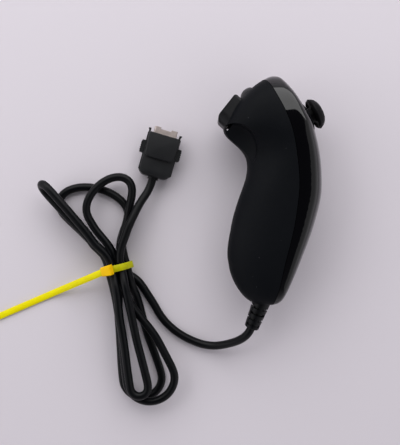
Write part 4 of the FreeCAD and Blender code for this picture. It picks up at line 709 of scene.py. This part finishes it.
# The plug's upper half: a deck with a rounded rear, and a broad plate with round rear corners on
# it. The deck's sections give the distance along the plug, half the width and the top.
cover = {"low": 5.4, "edge": 0.9, "edgeShare": 0.6, "cut": 0.3, "sharp": 35.0,
         "plateTop": 10.8, "plateLow": 8.0, "plateFront": 10.99, "plateRear": -1.6,
         "plateHalf": (8.1, 7.6), "corner": 2.3, "cornerSteps": 8, "bevel": 0.45,
         "deck": [(11.0, 8.3, 9.0), (2.0, 8.3, 9.0), (-7.4, 8.3, 8.97), (-9.0, 7.95, 8.92),
                  (-10.1, 7.0, 8.85), (-10.75, 5.9, 8.4), (-11.0, 4.9, 7.8)]}


def deckSections():
    sections = []
    for along, half, top in cover["deck"]:
        edge = min(cover["edge"], (top - cover["low"]) * cover["edgeShare"])
        cut = edge * cover["cut"]
        outline = [(-half, cover["low"]), (half, cover["low"]), (half, top - edge),
                   (half - cut, top - cut), (half - edge, top), (-half + edge, top),
                   (-half + cut, top - cut), (-half, top - edge)]
        sections.append([plugFrame @ Vector((across, along, rise)) for across, rise in outline])
    return sections


def plateMesh():
    front, rear = cover["plateHalf"]
    corner = cover["corner"]
    outline = [(-front, cover["plateFront"]), (front, cover["plateFront"])]
    for way in (1, -1):
        turn = []
        for step in range(cover["cornerSteps"] + 1):
            angle = math.pi / 2 * step / cover["cornerSteps"]
            turn.append((way * (rear - corner + corner * math.cos(angle)),
                         cover["plateRear"] + corner - corner * math.sin(angle)))
        outline += turn if way > 0 else reversed(turn)
    built = bmesh.new()
    levels = (cover["plateLow"], cover["plateTop"])
    sections = [[Vector((x, y, level)) for x, y in outline] for level in levels]
    upper = bandFaces(built, sections, False)[1]
    rim = [edge for edge in built.edges if all(vert in upper for vert in edge.verts)]
    bmesh.ops.bevel(built, geom=rim, offset=cover["bevel"] * mm, segments=3, affect="EDGES",
                    profile=0.5)
    bmesh.ops.transform(built, matrix=plugPlace, verts=built.verts)
    return builtMesh("plugPlate", built)


coverMesh = joinMeshes("plugCover", [(bandMesh("plugDeck", deckSections(), False), 0),
                                     (plateMesh(), 0)])
coverMesh.set_sharp_from_angle(angle=math.radians(cover["sharp"]))
plugCover = meshObject("plugCover", coverMesh, "plug_black", "handset")
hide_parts("plug_cover")
print("plug cover made")

# Shell screws; the last values are shares of a screw's own sizes
screw = {"places": [(-9.0, -20.0, 19.0), (-9.0, -36.0, 19.0)], "headRadius": 2.3,
         "headHeight": 1.5, "shankRadius": 1.2, "shankLength": 9.0, "slotWidth": 0.6,
         "headSides": 40, "shankSides": 24, "threadTurns": 7.0, "slotReach": 1.25,
         "threadRadius": 0.97, "threadRidge": 0.1, "threadStart": 0.05, "threadLength": 0.9}


def screwTree():
    # a pan head with a cross recess on a threaded shank, one at each vertex, along z
    tree, given, result = newTree("crossScrews", {
        "Head Radius": "Float", "Head Height": "Float", "Shank Radius": "Float",
        "Shank Length": "Float", "Slot Width": "Float", "Turn": "Rotation",
        "Material": "Material"})

    def times(source, factor):
        scaled = addNode(tree, "ShaderNodeMath", operation="MULTIPLY")
        tree.links.new(source, scaled.inputs[0])
        scaled.inputs[1].default_value = factor
        return scaled.outputs["Value"]

    def moved(mesh, lift):
        offset = tree.nodes.new("ShaderNodeCombineXYZ")
        tree.links.new(lift, offset.inputs["Z"])
        transform = tree.nodes.new("GeometryNodeTransform")
        tree.links.new(mesh, transform.inputs["Geometry"])
        tree.links.new(offset.outputs["Vector"], transform.inputs["Translation"])
        return transform.outputs["Geometry"]

    def drum(radius, depth, sides):
        cylinder = tree.nodes.new("GeometryNodeMeshCylinder")
        cylinder.inputs["Vertices"].default_value = sides
        tree.links.new(radius, cylinder.inputs["Radius"])
        tree.links.new(depth, cylinder.inputs["Depth"])
        return cylinder.outputs["Mesh"]

    headHeight, shankLength = given["Head Height"], given["Shank Length"]
    head = moved(drum(given["Head Radius"], headHeight, screw["headSides"]),
                 times(headHeight, -0.5))
    recess = addNode(tree, "GeometryNodeMeshBoolean", operation="DIFFERENCE")
    tree.links.new(head, recess.inputs["Mesh 1"])
    reach = times(given["Head Radius"], screw["slotReach"])
    for across, along in ((reach, given["Slot Width"]), (given["Slot Width"], reach)):
        slot = moved(sizedBox(tree, across, along, headHeight), times(headHeight, -1.0))
        tree.links.new(slot, recess.inputs["Mesh 2"])
    shank = moved(drum(given["Shank Radius"], shankLength, screw["shankSides"]),
                  times(shankLength, 0.5))
    thread = tree.nodes.new("GeometryNodeCurveSpiral")
    thread.inputs["Resolution"].default_value = screw["shankSides"]
    thread.inputs["Rotations"].default_value = screw["threadTurns"]
    for end in ("Start Radius", "End Radius"):
        tree.links.new(times(given["Shank Radius"], screw["threadRadius"]), thread.inputs[end])
    tree.links.new(times(shankLength, screw["threadLength"]), thread.inputs["Height"])
    ridge = tree.nodes.new("GeometryNodeCurvePrimitiveCircle")
    ridge.inputs["Resolution"].default_value = 4
    tree.links.new(times(given["Shank Radius"], screw["threadRidge"]), ridge.inputs["Radius"])
    wound = tree.nodes.new("GeometryNodeCurveToMesh")
    wound.inputs["Fill Caps"].default_value = True
    tree.links.new(thread.outputs["Curve"], wound.inputs["Curve"])
    tree.links.new(ridge.outputs["Curve"], wound.inputs["Profile Curve"])
    raised = moved(wound.outputs["Mesh"], times(shankLength, screw["threadStart"]))
    joined = tree.nodes.new("GeometryNodeJoinGeometry")
    for mesh in (recess.outputs["Mesh"], shank, raised):
        tree.links.new(mesh, joined.inputs["Geometry"])
    copies = placeCopies(tree, given["Geometry"], joined.outputs["Geometry"], given["Turn"])
    finishTree(tree, copies, given, result)
    return tree


screwPlaces = pointMesh("screwPlaces", [Vector(place) for place in screw["places"]])
screwMesh = madeReal("shellScrews", screwPlaces, screwTree(), {
    "Head Radius": screw["headRadius"] * mm, "Head Height": screw["headHeight"] * mm,
    "Shank Radius": screw["shankRadius"] * mm, "Shank Length": screw["shankLength"] * mm,
    "Slot Width": screw["slotWidth"] * mm, "Turn": (0.0, math.pi / 2, 0.0),
    "Material": materials["steel"]})
shellScrews = meshObject("shellScrews", screwMesh, "steel", "handset")
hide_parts("shell_screws")
print("shell screws made:", len(screwMesh.polygons), "faces")

# Grip ribs on both latches, sunk a little into the pad's outer face
ribs = {"count": 4, "step": 1.2, "radius": 0.32, "length": 3.4, "sides": 16, "outer": 10.5,
        "sink": 0.1, "firstAlong": 1.2}


def ribTree():
    # round ribs side by side along y, each lying along z
    tree, given, result = newTree("gripRibs", {
        "Count": "Int", "Step": "Float", "Radius": "Float", "Length": "Float",
        "Material": "Material"})
    row = addNode(tree, "GeometryNodeMeshLine", mode="OFFSET")
    tree.links.new(given["Count"], row.inputs["Count"])
    offset = tree.nodes.new("ShaderNodeCombineXYZ")
    tree.links.new(given["Step"], offset.inputs["Y"])
    tree.links.new(offset.outputs["Vector"], row.inputs["Offset"])
    rib = tree.nodes.new("GeometryNodeMeshCylinder")
    rib.inputs["Vertices"].default_value = ribs["sides"]
    tree.links.new(given["Radius"], rib.inputs["Radius"])
    tree.links.new(given["Length"], rib.inputs["Depth"])
    copies = placeCopies(tree, row.outputs["Mesh"], rib.outputs["Mesh"])
    finishTree(tree, copies, given, result)
    return tree


for latchName, way in (("latch_right", 1), ("latch_left", -1)):
    ribMesh = madeReal(latchName + "Ribs", pointMesh("ribHost", [Vector((0, 0, 0))]), ribTree(), {
        "Count": ribs["count"], "Step": ribs["step"] * mm, "Radius": ribs["radius"] * mm,
        "Length": ribs["length"] * mm, "Material": materials["plugBlack"]})
    seat = Vector((way * (ribs["outer"] - ribs["sink"]), ribs["firstAlong"],
                   plugSizes["baseHeight"]))
    ribMesh.transform(Matrix.Translation(seat * mm))
    ribMesh.transform(plugPlace)
    meshObject(latchName + "Ribs", ribMesh, "plug_black", latchName)
print("latch ribs made")

# Floor, world and lamps; these sizes are in metres
table = {"colour": (217, 211, 218), "half": 3.0, "drop": 0.0002, "rough": 0.6, "specular": 0.2}
floorMesh = bpy.data.meshes.new("floor")
floorCorners = [(across * table["half"], along * table["half"], 0)
                for across, along in ((-1, -1), (1, -1), (1, 1), (-1, 1))]
floorMesh.from_pydata(floorCorners, [], [(0, 1, 2, 3)])
floor = bpy.data.objects.new("floor", floorMesh)
floor.location = (0, 0, -table["drop"])
scene.collection.objects.link(floor)
floorMaterial = bpy.data.materials.new("paleTable")
floorMaterial.use_nodes = True
floorShader = floorMaterial.node_tree.nodes["Principled BSDF"]
floorShader.inputs["Base Color"].default_value = linear(*table["colour"])
floorShader.inputs["Roughness"].default_value = table["rough"]
floorShader.inputs["Specular IOR Level"].default_value = table["specular"]
floorMesh.materials.append(floorMaterial)

# The room is bright towards the horizon and dim overhead
room = {"stops": [(0.0, 1.0), (0.45, 0.6), (0.8, 0.12), (1.0, 0.05)], "tint": (0.96, 0.94, 1.0),
        "strength": 0.9}
world = bpy.data.worlds.new("studio")
world.use_nodes = True
worldTree = world.node_tree
rise = worldTree.nodes.new("ShaderNodeSeparateXYZ")
coordinates = worldTree.nodes.new("ShaderNodeTexCoord")
worldTree.links.new(coordinates.outputs["Generated"], rise.inputs["Vector"])
roomRamp = worldTree.nodes.new("ShaderNodeValToRGB")
marks = roomRamp.color_ramp.elements
for index, (stop, level) in enumerate(room["stops"]):
    mark = marks[index] if index < 2 else marks.new(stop)
    mark.position = stop
    mark.color = (*(level * share for share in room["tint"]), 1.0)
background = worldTree.nodes["Background"]
worldTree.links.new(rise.outputs["Z"], roomRamp.inputs["Fac"])
worldTree.links.new(roomRamp.outputs["Color"], background.inputs["Color"])
background.inputs["Strength"].default_value = room["strength"]
scene.world = world

# Each lamp is an oblong that faces the object: place, width, height and power in watts
lamps = {"windowLamp": ((-0.05, 0.7, 0.65), 1.5, 0.9, 9.4),
         "leftLamp": ((-1.0, 0.1, 0.65), 1.2, 1.2, 4.1),
         "rightLamp": ((0.95, -0.25, 0.7), 1.9, 1.9, 4.4)}
objectMiddle = Vector((-0.035, -0.015, 0.0))
for name, (place, width, height, power) in lamps.items():
    lampData = bpy.data.lights.new(name, "AREA")
    lampData.shape = "RECTANGLE"
    lampData.size = width
    lampData.size_y = height
    lampData.energy = power
    lamp = bpy.data.objects.new(name, lampData)
    lamp.location = place
    lamp.rotation_euler = (objectMiddle - Vector(place)).to_track_quat("-Z", "Y").to_euler()
    scene.collection.objects.link(lamp)
print("stage lit")
